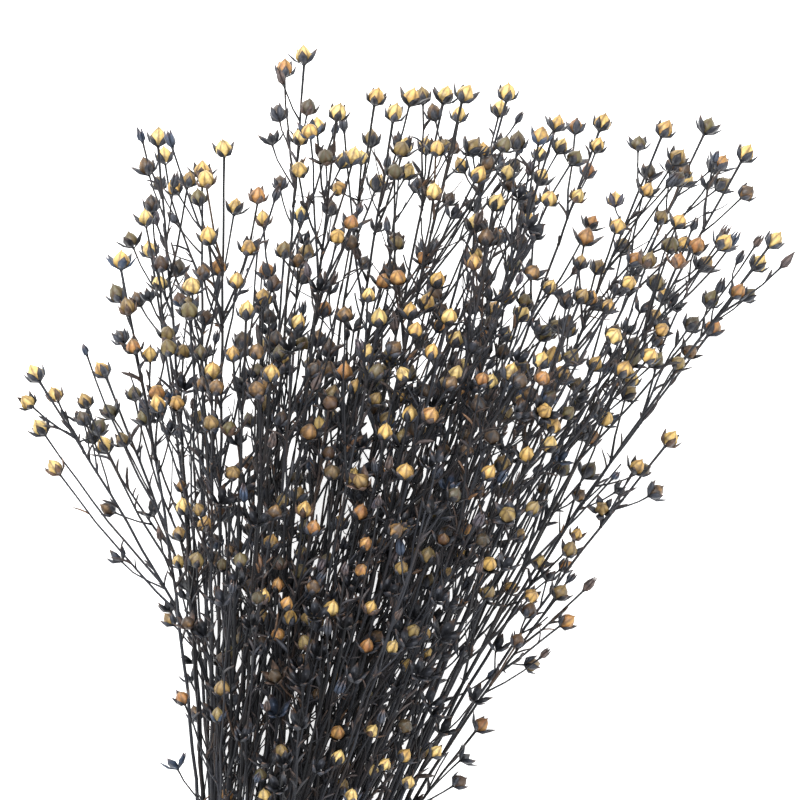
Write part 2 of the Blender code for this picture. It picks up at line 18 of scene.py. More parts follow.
import bmesh
import bpy
import numpy as np
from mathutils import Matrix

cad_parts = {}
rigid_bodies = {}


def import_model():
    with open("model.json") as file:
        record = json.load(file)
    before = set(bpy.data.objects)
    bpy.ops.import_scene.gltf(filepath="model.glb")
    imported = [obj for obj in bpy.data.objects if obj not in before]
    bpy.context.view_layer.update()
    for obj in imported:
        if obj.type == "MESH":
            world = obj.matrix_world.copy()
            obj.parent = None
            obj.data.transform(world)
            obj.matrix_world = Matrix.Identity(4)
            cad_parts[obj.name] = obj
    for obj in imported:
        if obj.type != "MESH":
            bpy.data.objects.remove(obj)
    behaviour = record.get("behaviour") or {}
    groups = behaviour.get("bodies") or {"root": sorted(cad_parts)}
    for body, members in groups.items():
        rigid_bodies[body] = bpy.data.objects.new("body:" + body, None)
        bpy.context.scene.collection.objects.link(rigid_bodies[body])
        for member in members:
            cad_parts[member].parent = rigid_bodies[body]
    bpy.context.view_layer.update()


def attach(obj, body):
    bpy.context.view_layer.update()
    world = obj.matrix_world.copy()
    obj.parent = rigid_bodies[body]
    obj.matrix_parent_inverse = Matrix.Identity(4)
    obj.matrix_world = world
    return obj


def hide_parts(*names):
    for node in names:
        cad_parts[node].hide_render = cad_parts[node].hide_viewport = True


LOG = logging.getLogger("dried_flax")

MM = 0.001

Place = tuple[float, float]
Range = tuple[float, float]
Segment = tuple[np.ndarray, np.ndarray, float, bool]
SprayRow = tuple[float, float, float, tuple[Place, ...]]


@dataclass(frozen=True)
class Bundle:
    """The bundle of stems where it is tied, in millimetres."""

    stem_pitch: float = 2.62
    cell_shift: Range = (0.21, 0.17)
    cut_end_y: float = -100.0
    cut_end_spread: float = 9.0
    cut_end_flare: float = 0.42
    cut_end_lift: float = 3.6
    lean: float = 0.2
    axis_z: float = 13.0
    cell_reach: int = 12
    tie_half_width: float = 11.0


@dataclass(frozen=True)
class Fan:
    """The fan of stems and heads beyond the tie, in millimetres."""

    stem_radius: float = 1.1
    stem_top_radius: float = 0.78
    branch_radius: float = 0.68
    branch_taper: float = 0.06
    stalk_radius: float = 0.47
    leaf_radii: Range = (0.5, 0.9)
    stem_steps: int = 5
    stem_clearance: float = 0.25
    clearance: float = 0.35
    spare_clearance: float = 0.05
    bend_rounds: int = 80
    bend_surplus: float = 0.15
    head_surplus: float = 0.2
    reach_cost: float = 0.0012
    fork_first: float = 4.0
    fork_step: float = 2.0
    fork_stem_end: float = 20.0
    fork_limb_share: float = 0.85
    fork_spread: float = 0.4
    end_follow: float = 0.55
    end_wander: float = 0.22
    edge_slope_left: float = -0.02
    edge_slope_right: float = 0.43
    bend_start_y: float = 90.0
    bend_power: float = 1.9
    stray_bend: float = -30.0
    stray_start: float = 0.6
    stray_power: float = 1.2
    sway_share: Range = (0.3, 1.0)
    sway: float = 0.006
    low_z: float = 7.0
    rise: float = 0.27
    base_height: float = 9.0
    head_low_z: float = 9.0
    head_rest_z: float = 3.4
    lowest_rod: float = 1.6
    lowest_head: float = 5.4
    top_lean: float = 0.2
    top_size: Range = (0.97, 1.05)
    place_shake: float = 1.5
    low_head_side: Range = (4.0, 24.0)
    low_head_drop: float = 60.0
    low_head_tries: int = 6
    seed: int = 20
    tries: int = 40


@dataclass(frozen=True)
class Outline:
    """The outer edges of the dense part of the bunch, X at some places along Y.

    The openings are gaps between its stems, each with its middle and its radius.
    """

    y: tuple[float, ...] = (0.0, 170.0, 220.0, 260.0, 320.0, 420.0)
    left_x: tuple[float, ...] = (-8.0, -5.0, -10.0, -16.0, -27.0, -38.0)
    right_x: tuple[float, ...] = (12.0, 66.0, 96.0, 124.0, 166.0, 235.0)
    openings: tuple[tuple[float, float, float], ...] = (
        (42, 378, 12), (83, 398, 12), (125, 377, 12), (146, 356, 11), (0, 356, 11),
        (0, 308, 12), (62, 315, 9), (124, 273, 12), (104, 250, 11), (-6, 222, 7),
    )

    def holds(self, point: np.ndarray) -> bool:
        """Whether a point lies between the edges and in no opening.

        Args:
            point: the point, of which X and Y count.

        Returns:
            True if it does.
        """
        low = np.interp(point[1], self.y, self.left_x)
        high = np.interp(point[1], self.y, self.right_x)
        is_open = any(math.hypot(point[0] - x, point[1] - y) < reach
                      for x, y, reach in self.openings)
        return bool(low < point[0] < high) and not is_open


@dataclass(frozen=True)
class View:
    """The camera straight above the heads, and the plane in which places are read off."""

    middle: Place = (72.9, 325.0)
    plane_z: float = 65.0
    width: float = 333.3
    distance: float = 2200.0

    def seen(self, point: np.ndarray) -> np.ndarray:
        """Where the camera sees a point in the plane."""
        depth = self.distance + self.plane_z - point[2]
        return self.middle + (point[:2] - self.middle) * self.distance / depth

    def real(self, place: Place, z: float) -> np.ndarray:
        """The place in X and Y, at a height, that the camera sees there in the plane."""
        depth = self.distance + self.plane_z - z
        return self.middle + (np.array(place) - self.middle) * depth / self.distance


@dataclass(frozen=True)
class Habit:
    """How a kind of side growth leaves its parent, and the size of what it carries.

    Angles are in degrees, and back, side and rise are distances in millimetres from the far
    end of the parent, from its path, and above it.
    """

    angle: Range
    size: Range = (1.0, 1.0)
    back: Range = (0.0, 0.0)
    side: Range = (0.0, 0.0)
    rise: Range = (0.0, 0.0)
    length: Range = (0.0, 0.0)


BUNDLE = Bundle()
FAN = Fan()
OUTLINE = Outline()
VIEW = View()
BRANCH = Habit(angle=(11.0, 19.0), size=(0.86, 1.05), rise=(-14.0, 8.0))
LOW_BRANCH = Habit(angle=(14.0, 24.0), size=(0.82, 0.96), rise=(-5.0, 13.0))
STALK = Habit(angle=(20.0, 36.0), size=(0.84, 1.04), back=(6.0, 26.0), side=(6.5, 11.0))
LEAF = Habit(angle=(22.0, 48.0), back=(14.0, 70.0), length=(9.0, 15.0))
FULL_TURN = (0.0, 2 * math.pi)
ACROSS = np.array((1.0, 0.0, 0.0))
UPWARD = np.array((0.0, 0.0, 1.0))

# One row a spray: the place of its tip in X and Y, how high it lies in the fan from 0 at the
# surface to 1 on top, and the places in X and Y where its branches end.
SPRAYS: tuple[SprayRow, ...] = (
    (-27, 430, 0.62, ((-32, 396), (-16, 413))),
    (-11, 419, 0.15, ((-28, 425), (3, 403))),
    (1, 425, 0.80, ((15, 407), (-4, 390))),
    (33, 465, 0.45, ((26, 459), (32, 430))),
    (47, 439, 0.85, ((40, 432), (53, 421))),
    (62, 451, 0.05, ((57, 425), (62, 414))),
    (70, 440, 0.65, ((76, 445), (73, 428))),
    (91, 450, 0.25, ((83, 449), (84, 428))),
    (98, 446, 0.90, ((97, 439), (89, 424))),
    (117, 449, 0.55, ((106, 427), (113, 442))),
    (136, 435, 0.80, ((121, 429), (129, 428))),
    (158, 440, 0.04, ((148, 440), (146, 408))),
    (181, 434, 0.60, ((175, 410), (186, 424))),
    (202, 438, 0.14, ((206, 421), (193, 417))),
    (213, 423, 0.75, ((203, 388), (186, 395))),
    (227, 389, 0.45, ((221, 381), (212, 367))),
    (205, 353, 0.00, ((202, 381), (196, 356))),
    (184, 306, 0.55, ((171, 294),)),
    (138, 242, 0.70, ((139, 230), (120, 221))),
    (105, 186, 0.60, ((89, 177),)),
    (-79, 333, 0.35, ((-71, 325), (-78, 311), (-71, 293))),
    (-53, 335, 0.00, ((-53, 304), (-60, 323))),
    (-42, 379, 0.75, ((-40, 359), (-36, 345))),
    (-33, 386, 0.05, ((-40, 326), (-29, 373))),
    (-4, 334, 0.97, ((-9, 330), (-3, 328))),
    (10, 358, 0.95, ((5, 341), (5, 371))),
    (16, 364, 0.60, ((20, 347), (22, 339))),
    (20, 333, 1.00, ((15, 334), (15, 328))),
    (32, 354, 0.85, ((41, 358), (38, 347))),
    (43, 343, 0.55, ((38, 334), (35, 323))),
    (64, 355, 0.98, ((61, 364), (51, 356))),
    (58, 341, 0.90, ((51, 334), (58, 332))),
    (68, 339, 0.70, ((75, 333), (71, 324))),
    (77, 358, 0.95, ((82, 360), (78, 350))),
    (92, 356, 0.98, ((85, 356), (84, 343))),
    (95, 347, 0.80, ((98, 338), (96, 332))),
    (111, 360, 0.12, ((104, 361), (117, 350))),
    (122, 358, 0.62, ((117, 364), (132, 349))),
    (117, 333, 0.96, ((111, 330), (122, 336))),
    (130, 338, 0.92, ((129, 331), (135, 341))),
    (142, 340, 0.80, ((140, 333), (153, 336))),
    (146, 365, 0.90, ((146, 378), (157, 361))),
    (124, 398, 0.35, ((128, 408), (124, 388))),
    (44, 324, 0.80, ((54, 326), (40, 313))),
    (103, 320, 0.60, ((97, 324), (88, 319))),
    (78, 316, 0.98, ((67, 309), (74, 294))),
    (133, 304, 0.90, ((125, 299), (115, 295))),
    (24, 385, 0.28, ((15, 398), (30, 400))),
    (153, 306, 0.03, ((151, 292), (147, 320))),
    (-16, 278, 0.85, ((-8, 271), (-18, 267))),
    (-3, 274, 0.40, ((-20, 253), (-6, 253))),
    (33, 277, 0.97, ((30, 283), (37, 271))),
    (57, 276, 0.99, ((64, 293), (53, 290))),
    (111, 403, 0.80, ((117, 417), (102, 393))),
    (84, 258, 0.95, ((72, 253), (73, 268))),
    (46, 236, 1.03, ((26, 232), (34, 233))),
)

# The places in X and Y of the heads that stand on short side branches far below the tops
LOW_HEADS: tuple[Place, ...] = (
    (47, 174), (52, 157), (75, 162), (61, 187), (65, 170), (17, 158), (88, 177),
    (60, 167), (69, 222), (59, 236), (39, 229), (25, 238), (-16, 199), (-3, 213),
    (-2, 191), (4, 222), (82, 217), (74, 212), (83, 226), (58, 198), (47, 205),
    (97, 258), (109, 242), (118, 244), (131, 253), (147, 266), (36, 171), (23, 177),
    (-32, 316), (9, 285), (24, 280), (31, 260), (42, 256), (49, 246), (52, 300),
)


class Ending(Enum):
    """What a stem, branch or stalk carries at its far end."""

    BARE = "bare"
    CAPSULE = "capsule"
    BUD = "bud"
    HUSK = "husk"


class Kind(Enum):
    """The parts of a spray that grow as rods."""

    STEM = "stem"
    BRANCH = "branch"
    SIDE_STEM = "side stem"
    STALK = "stalk"
    TWIG = "twig"
    LEAF = "leaf"


class Ripeness(Enum):
    """How ripe a capsule is, as the ranges of the tone and of the hue of its husk."""

    STRAW = ((0.0, 0.14), (0.35, 0.6))
    GOLD = ((0.2, 0.4), (0.4, 0.65))
    RUST = ((0.42, 0.62), (0.85, 1.0))
    OLIVE = ((0.42, 0.68), (0.0, 0.14))
    BROWN = ((0.7, 0.92), (0.4, 0.7))
    GREY = ((0.84, 1.0), (0.0, 0.3))


# Where the camera sees capsules of each ripeness, and closed buds under None: X and Y in the
# view's plane, read off in pixels and then turned into millimetres
SEEN_PLACES: dict[Ripeness | None, tuple[Place, ...]] = {
    Ripeness.STRAW: (
        (-80, 325), (-78, 335), (-78, 314), (-69, 328), (-69, 295), (-50, 308), (-33, 400),
        (-30, 377), (-27, 434), (-27, 387), (-25, 425), (-19, 257), (-17, 281), (-14, 373),
        (-8, 418), (1, 430), (10, 362), (17, 161), (18, 400), (23, 343), (31, 433), (31, 422),
        (31, 358), (33, 470), (33, 403), (34, 429), (35, 454), (40, 437), (40, 316), (45, 423),
        (46, 238), (47, 445), (48, 177), (53, 160), (53, 426), (53, 293), (58, 345), (59, 426),
        (61, 170), (62, 368), (62, 190), (63, 415), (64, 359), (66, 173), (70, 225), (71, 445),
        (74, 433), (75, 336), (76, 165), (78, 421), (79, 317), (84, 430), (86, 412), (90, 181),
        (92, 452), (94, 360), (96, 350), (97, 335), (98, 444), (99, 342), (100, 453), (103, 397),
        (111, 244), (113, 333), (113, 408), (117, 447), (117, 353), (118, 453), (118, 422),
        (119, 337), (123, 361), (130, 418), (131, 428), (132, 342), (133, 255), (134, 373),
        (135, 307), (137, 434), (145, 409), (161, 353), (168, 334), (185, 308), (192, 418),
        (205, 421), (217, 428), (222, 384), (228, 392),
    ),
    Ripeness.GOLD: (
        (-50, 338), (-43, 383), (-32, 345), (-27, 323), (-20, 325), (-11, 392), (-10, 423),
        (-9, 273), (-6, 338), (4, 405), (4, 376), (4, 344), (8, 393), (15, 244), (16, 368),
        (18, 267), (19, 337), (26, 235), (33, 280), (35, 439), (40, 232), (42, 247), (44, 411),
        (47, 395), (48, 208), (54, 329), (59, 335), (59, 239), (63, 449), (68, 168), (68, 313),
        (68, 343), (71, 327), (73, 272), (73, 178), (75, 296), (75, 214), (77, 363), (78, 354),
        (80, 447), (83, 364), (83, 219), (85, 346), (87, 375), (89, 322), (90, 430), (95, 424),
        (98, 260), (103, 383), (104, 420), (104, 388), (108, 431), (109, 295), (110, 259),
        (111, 363), (118, 367), (119, 246), (125, 401), (127, 302), (127, 246), (129, 410),
        (133, 435), (134, 410), (135, 315), (135, 323), (137, 344), (139, 442), (142, 336),
        (149, 268), (155, 339), (157, 440), (158, 318), (160, 364), (163, 398), (165, 403),
        (165, 338), (167, 376), (172, 295), (175, 344), (177, 413), (177, 360), (181, 356),
        (183, 438), (186, 363), (188, 398), (189, 391), (207, 390),
    ),
    Ripeness.RUST: (
        (-37, 348), (-28, 330), (-16, 202), (-3, 382), (0, 161), (15, 412), (21, 381), (22, 248),
        (23, 228), (26, 243), (37, 273), (41, 362), (47, 188), (51, 338), (52, 400), (57, 279),
        (57, 256), (59, 224), (62, 209), (64, 296), (65, 375), (73, 377), (83, 386), (84, 320),
        (86, 360), (98, 327), (104, 323), (106, 353), (107, 335), (131, 334), (143, 438),
        (149, 393), (151, 399), (152, 310), (169, 385), (188, 384), (204, 354), (214, 369),
    ),
    Ripeness.OLIVE: (
        (-57, 325), (-27, 316), (-25, 354), (-23, 347), (-19, 270), (-17, 416), (-11, 258),
        (-10, 281), (-2, 193), (-1, 205), (4, 225), (16, 235), (23, 180), (24, 282), (28, 385),
        (30, 286), (31, 263), (35, 236), (37, 226), (37, 174), (44, 327), (48, 164), (49, 173),
        (50, 248), (53, 275), (59, 201), (73, 255), (74, 426), (77, 232), (83, 180), (84, 229),
        (85, 260), (90, 252), (117, 298), (124, 339), (124, 278), (141, 245), (144, 343),
        (149, 382), (149, 369), (153, 280), (155, 381), (165, 390), (175, 383), (178, 374),
        (180, 402), (189, 428), (198, 385),
    ),
    Ripeness.BROWN: (
        (-10, 333), (-8, 379), (-5, 257), (-5, 332), (-4, 216), (-3, 278), (2, 263), (8, 288),
        (10, 249), (14, 331), (16, 287), (20, 350), (24, 315), (33, 217), (34, 313), (35, 326),
        (38, 203), (38, 351), (39, 337), (44, 346), (51, 360), (52, 303), (101, 306), (104, 363),
        (115, 313), (124, 321), (125, 390), (127, 328),
    ),
    Ripeness.GREY: (
        (-38, 329), (-34, 319), (-15, 363), (-10, 345), (-5, 408), (2, 221), (6, 260), (15, 170),
        (16, 224), (31, 256), (43, 259), (44, 216), (70, 421), (74, 191), (84, 250), (106, 269),
        (115, 432), (117, 290), (123, 434), (134, 352), (141, 358), (144, 426), (147, 323),
        (151, 296), (168, 344), (169, 350), (175, 421), (185, 390), (187, 418), (200, 370),
        (201, 438),
    ),
    None: (
        (-58, 348), (-35, 436), (-28, 402), (-22, 434), (-7, 394), (20, 412), (24, 463),
        (44, 377), (45, 440), (49, 441), (55, 406), (68, 398), (70, 258), (105, 402),
        (108, 399), (143, 253), (150, 250), (161, 295), (195, 399), (204, 428), (207, 396),
        (211, 393), (220, 392), (232, 384),
    ),
}

# Where fine growth is thickest: each place in X and Y, and how far it spreads. One that is
# listed twice is drawn twice as often.
THICKETS: tuple[tuple[float, float, float], ...] = (
    (32, 348, 20), (60, 330, 24), (88, 345, 20), (165, 352, 12), (125, 417, 10),
    (48, 285, 28), (108, 285, 18), (60, 368, 20), (125, 417, 10),
)

# The shares of each ripeness among the capsules that no place is given for, up to a place
# along the bunch. The lower they lie, the fewer bright ones: partly ripeness and dye, partly
# painted shade for the shade deep inside the bunch
RIPENESS_AND_SHADE_SHARES: tuple[tuple[float, dict[Ripeness, float]], ...] = (
    (300.0, {Ripeness.RUST: 0.04, Ripeness.OLIVE: 0.22, Ripeness.BROWN: 0.40,
             Ripeness.GREY: 0.34}),
    (390.0, {Ripeness.GOLD: 0.03, Ripeness.RUST: 0.05, Ripeness.OLIVE: 0.20,
             Ripeness.BROWN: 0.38, Ripeness.GREY: 0.34}),
    (500.0, {Ripeness.GOLD: 0.10, Ripeness.RUST: 0.08, Ripeness.OLIVE: 0.16,
             Ripeness.BROWN: 0.36, Ripeness.GREY: 0.30}),
)
BRIGHT = (Ripeness.STRAW, Ripeness.GOLD, Ripeness.RUST)


def unit(vector: np.ndarray) -> np.ndarray:
    """The vector at length 1."""
    return vector / np.linalg.norm(vector)


def square_to(direction: np.ndarray, along: np.ndarray) -> np.ndarray:
    """The part of a direction that is square to another, at length 1."""
    return unit(direction - along * (direction @ along))


def ring(along: np.ndarray, turn: float) -> np.ndarray:
    """The direction that is square to another and turned this far round it."""
    across = square_to(ACROSS, along)
    return across * math.cos(turn) + np.cross(along, across) * math.sin(turn)


def spans(p0: np.ndarray, p1: np.ndarray, q0: np.ndarray, q1: np.ndarray) -> np.ndarray:
    """Finds the shortest steps to one segment from each of many.

    Args:
        p0: the start of the one segment.
        p1: its end.
        q0: the starts of the others, one a row.
        q1: their ends.

    Returns:
        One step a row, from the other segment to the first.
    """
    d1 = p1 - p0
    d2 = q1 - q0
    r = p0 - q0
    a = d1 @ d1
    e = (d2 * d2).sum(1)
    f = (d2 * r).sum(1)
    c = r @ d1
    b = d2 @ d1
    denominator = a * e - b * b
    parallel = denominator < 1e-9
    s = np.where(parallel, 0.0, (b * f - c * e) / np.where(parallel, 1.0, denominator))
    s = np.clip(s, 0.0, 1.0)
    t = np.clip((b * s + f) / e, 0.0, 1.0)
    s = np.clip((b * t - c) / a, 0.0, 1.0)
    return (p0 + s[:, None] * d1) - (q0 + t[:, None] * d2)


def bezier(frame: Sequence[np.ndarray], t: float) -> np.ndarray:
    """The point at t on the cubic with these four control points."""
    (a, b, c, d), s = frame, 1.0 - t
    return a * s ** 3 + b * 3 * s * s * t + c * 3 * s * t * t + d * t ** 3


class Room:
    """The rods and heads placed so far, as segments with a radius."""

    def __init__(self, size: int = 20000) -> None:
        """Starts with nothing placed.

        Args:
            size: how many segments fit in.
        """
        self.count = 0
        self.all_ends = np.zeros((size, 2, 3))
        self.all_radii = np.zeros(size)
        self.all_owners = np.zeros(size, int)
        self.all_heads = np.zeros(size, bool)

    def add(self, rods: Iterable[Segment], owner: int) -> None:
        """Notes the segments of a rod that has been placed.

        Args:
            rods: the segments.
            owner: the index of their spray.
        """
        for start, end, radius, is_head in rods:
            self.all_ends[self.count] = (start, end)
            self.all_radii[self.count] = radius
            self.all_owners[self.count] = owner
            self.all_heads[self.count] = is_head
            self.count += 1

    def lack(self, low: np.ndarray, high: np.ndarray, radius: float,
             clearance: float) -> tuple[float, np.ndarray]:
        """Finds where a segment comes nearest to, or furthest into, what is placed.

        Args:
            low: the start of the segment.
            high: its end.
            radius: its radius.
            clearance: the gap to keep.

        Returns:
            How much of the gap is missing there, and the direction that leads away.
        """
        ends = self.all_ends[:self.count]
        apart = spans(low, high, ends[:, 0], ends[:, 1])
        near = np.sqrt((apart * apart).sum(1))
        missing = self.all_radii[:self.count] + radius + clearance + FAN.spare_clearance - near
        worst = int(np.argmax(missing))
        return float(missing[worst]), apart[worst] / near[worst]

    def is_free(self, rods: Iterable[Segment], owner: int, clearance: float) -> bool:
        """Whether the rods keep clear of other sprays, and heads of their own spray too.

        Args:
            rods: the segments to test.
            owner: the index of their spray.
            clearance: the gap to keep.

        Returns:
            True if nothing is nearer than that.
        """
        minded = (self.all_owners[:self.count] != owner) | self.all_heads[:self.count]
        along = self.all_ends[:self.count, :, 1]
        for start, end, radius, is_head in rods:
            reach = radius + clearance + WIDEST_HEAD
            near_by = ((along.max(1) > min(start[1], end[1]) - reach)
                       & (along.min(1) < max(start[1], end[1]) + reach))
            if not is_head:
                near_by &= minded
            ends = self.all_ends[:self.count][near_by]
            if not len(ends):
                continue
            apart = spans(start, end, ends[:, 0], ends[:, 1])
            room = self.all_radii[:self.count][near_by] + radius + clearance
            if ((apart * apart).sum(1) < room * room).any():
                return False
        return True


@dataclass
class Fork:
    """Where a rod leaves its parent: the parent, and the place in steps of its points."""

    parent: "Rod"
    place: float


@dataclass(frozen=True)
class HeadRoom:
    """The room that a head takes: where it starts and ends along its axis, and its radius."""

    low: float
    high: float
    radius: float


HEAD_ROOM = {Ending.CAPSULE: HeadRoom(2.6, 4.9, 4.75), Ending.BUD: HeadRoom(1.8, 8.0, 1.75),
             Ending.HUSK: HeadRoom(1.2, 3.6, 2.4)}
WIDEST_HEAD = HEAD_ROOM[Ending.CAPSULE].radius * 1.1
HEAD_MIDDLE = 3.4

# How the fine stems waver: how far each kind swings, the length and fading of a wave, and
# where it may start
WOBBLE = {Kind.STEM: 0.42, Kind.BRANCH: 0.32, Kind.SIDE_STEM: 0.5, Kind.STALK: 0.14,
          Kind.TWIG: 0.14, Kind.LEAF: 0.0}
WAVE_LENGTH = 38.0
LEAST_WAVES = 1.5
WAVE_FADE = 0.6
OVER_WAVES = 0.83
PHASES = (0.0, 6.28)
LAST_SHARE = 0.97


@dataclass(eq=False)
class Rod:
    """A stem, branch, stalk or leaf: the coarse path of the solid and the fine one in it."""

    points: np.ndarray
    radii: Sequence[float]
    up: np.ndarray
    kind: Kind
    axis: np.ndarray
    frame: Sequence[np.ndarray] | None = None
    fork: Fork | None = None
    ending: Ending = Ending.BARE
    size: float = 1.0
    ripeness: Ripeness | None = None
    is_extra: bool = False
    phases: Range = (0.0, 0.0)
    wobble: float = 0.0
    root_shift: np.ndarray = field(default_factory=lambda: np.zeros(3))

    def along(self, back: float) -> tuple[np.ndarray, np.ndarray, float]:
        """Walks back from the far end.

        Args:
            back: the distance to walk.

        Returns:
            The point there, the direction of growth and the place in steps of the points.
        """
        left = back
        for index in range(len(self.points) - 1, 0, -1):
            step = self.points[index] - self.points[index - 1]
            length = np.linalg.norm(step)
            if left <= length or index == 1:
                share = min(left / length, LAST_SHARE)
                return self.points[index] - step * share, step / length, index - share
            left -= length
        return self.points[0], unit(self.points[1] - self.points[0]), 0.0

    def length(self) -> float:
        """The length of the coarse path."""
        return float(np.linalg.norm(np.diff(self.points, axis=0), axis=1).sum())

    def at(self, y: float) -> np.ndarray:
        """Where the rod passes a distance along the bunch: its X and Z there."""
        return np.array([np.interp(y, self.points[:, 1], self.points[:, axis])
                         for axis in (0, 2)])

    def middle(self) -> np.ndarray:
        """The middle of its head."""
        return self.points[-1] + self.axis * HEAD_MIDDLE * self.size

    def segments(self) -> list[Segment]:
        """Lists its segments, and that of its head, for the clearance test.

        Returns:
            The segments, from the fork on.
        """
        found = [(*self.points[index:index + 2], max(self.radii[index:index + 2]), False)
                 for index in range(len(self.points) - 1)]
        room = HEAD_ROOM.get(self.ending)
        if room is not None:
            found.append((self.points[-1] + self.axis * room.low * self.size,
                          self.points[-1] + self.axis * room.high * self.size,
                          room.radius * self.size, True))
        return found

    def curve(self, place: float) -> np.ndarray:
        """Finds a point of the smooth path through the coarse points.

        Args:
            place: where it is, in steps of the coarse points.

        Returns:
            The point.
        """
        last = len(self.points) - 1
        if self.frame is not None:
            return bezier(self.frame, place / last)
        index = min(int(place), last - 1)
        t = place - index
        p1, p2 = self.points[index:index + 2]
        p0 = self.points[index - 1] if index else p1 * 2 - p2
        p3 = self.points[index + 2] if index + 2 <= last else p2 * 2 - p1
        pull1 = (p2 - p0) * 0.5
        pull2 = (p3 - p1) * 0.5
        return (p1 * (2 * t ** 3 - 3 * t * t + 1) + pull1 * (t ** 3 - 2 * t * t + t)
                + p2 * (3 * t * t - 2 * t ** 3) + pull2 * (t ** 3 - t * t))

    def spot(self, place: float) -> np.ndarray:
        """Finds a point of the fine path: smooth, a little wavy, and rooted in its parent.

        Args:
            place: where it is, in steps of the coarse points.

        Returns:
            The point.
        """
        share = place / (len(self.points) - 1)
        base = self.curve(place) + self.root_shift * (1.0 - share) ** 2
        if self.wobble:
            turn = 2 * math.pi * max(LEAST_WAVES, self.length() / WAVE_LENGTH)
            fade = self.wobble * math.sin(math.pi * min(1.0, max(0.0, share))) ** WAVE_FADE
            across = math.sin(turn * share + self.phases[0])
            over = math.sin(turn * OVER_WAVES * share + self.phases[1])
            base = base + np.array((across, 0.0, over)) * fade
        return base

    def settle(self, rng: random.Random) -> None:
        """Roots the fine path in the fine path of the parent and draws its waves.

        Args:
            rng: the spray's draws.
        """
        self.phases = (rng.uniform(*PHASES), rng.uniform(*PHASES))
        self.wobble = WOBBLE[self.kind]
        if self.fork is not None:
            self.root_shift = self.fork.parent.spot(self.fork.place) - self.curve(0.0)


def bundle_cells(count: int) -> np.ndarray:
    """Packs the stems in the tie as hexagons, the nearest to the middle first.

    Args:
        count: how many stems there are.

    Returns:
        One row of X and Z a stem.
    """
    cells = []
    span = range(-BUNDLE.cell_reach, BUNDLE.cell_reach + 1)
    for row, column in ((row, column) for row in span for column in span):
        x = BUNDLE.stem_pitch * (column + 0.5 * (row % 2) + BUNDLE.cell_shift[0])
        z = BUNDLE.stem_pitch * math.sqrt(0.75) * (row + BUNDLE.cell_shift[1])
        cells.append((math.hypot(x, z), x, z))
    return np.array([(x, z) for _, x, z in sorted(cells)[:count]])


def start_slope(tip: np.ndarray) -> float:
    """The sideways slope at which the stem of this tip leaves the tie."""
    return min(max(tip[0] / tip[1], FAN.edge_slope_left), FAN.edge_slope_right)


def tip_of(row: SprayRow) -> np.ndarray:
    """The place of a spray's tip."""
    height = FAN.low_z + row[2] * (FAN.base_height + FAN.rise * row[1])
    return np.array((row[0], row[1], height if row[2] else FAN.head_rest_z), float)


def fitted_cells(tips: Sequence[np.ndarray]) -> np.ndarray:
    """Gives each stem a cell, swapped until no two draw nearer as they leave the tie.

    Args:
        tips: the places of the sprays' tips.

    Returns:
        One row of X and Z a stem.
    """
    cells = bundle_cells(len(tips))
    slopes = np.array([(start_slope(t), (t[2] - BUNDLE.axis_z) / t[1]) for t in tips])
    order = list(range(len(tips)))
    swapped = True
    while swapped:
        swapped = False
        for i in range(len(tips)):
            for j in range(i):
                turn = (cells[order[i]] - cells[order[j]]) @ (slopes[i] - slopes[j])
                if turn < -1e-9:
                    order[i], order[j] = order[j], order[i]
                    swapped = True
    return cells[order]


def main_stem(tip: np.ndarray, cell: np.ndarray,
              rng: random.Random) -> tuple[np.ndarray, list[float]]:
    """Lays the stem from its cut end through the tie to its tip.

    Args:
        tip: the place of its far end.
        cell: its place in the tie.
        rng: the spray's draws.

    Returns:
        The points of the coarse path and the radius at each.
    """
    x0, z0 = cell
    half = BUNDLE.tie_half_width
    slope = start_slope(tip)
    cut = BUNDLE.cut_end_y + rng.uniform(-BUNDLE.cut_end_spread, BUNDLE.cut_end_spread)
    flare = 1.0 + BUNDLE.cut_end_flare
    low_z = BUNDLE.axis_z + BUNDLE.cut_end_lift + z0 * flare
    points = [(x0 * flare + BUNDLE.lean * cut, cut, low_z)]
    points += [(x0 + BUNDLE.lean * y, y, BUNDLE.axis_z + z0) for y in (-half, half)]
    reach = tip[1] - half
    start_x = x0 + BUNDLE.lean * half
    bend = tip[0] - (start_x + slope * reach)
    rise = tip[2] - (BUNDLE.axis_z + z0)
    sway = rng.uniform(*FULL_TURN)
    wide = rng.uniform(*FAN.sway_share) * FAN.sway
    bend_start, power = FAN.bend_start_y, FAN.bend_power
    if bend < FAN.stray_bend:
        bend_start, power = FAN.stray_start * tip[1], FAN.stray_power
    for step in range(1, FAN.stem_steps + 1):
        y = half + reach * step / FAN.stem_steps
        part = max(0.0, y - bend_start) / (tip[1] - bend_start)
        x = start_x + slope * (y - half) + bend * part ** power
        z = BUNDLE.axis_z + z0 + rise * (y - half) / reach
        swing = wide * y * math.sin(math.pi * step / FAN.stem_steps)
        points.append((x + swing * math.cos(sway), y, z + swing * math.sin(sway)))
    count = len(points) - 1
    thin = FAN.stem_top_radius - FAN.stem_radius
    radii = [FAN.stem_radius + thin * i / count for i in range(count)]
    return np.array(points), radii + [FAN.stalk_radius]


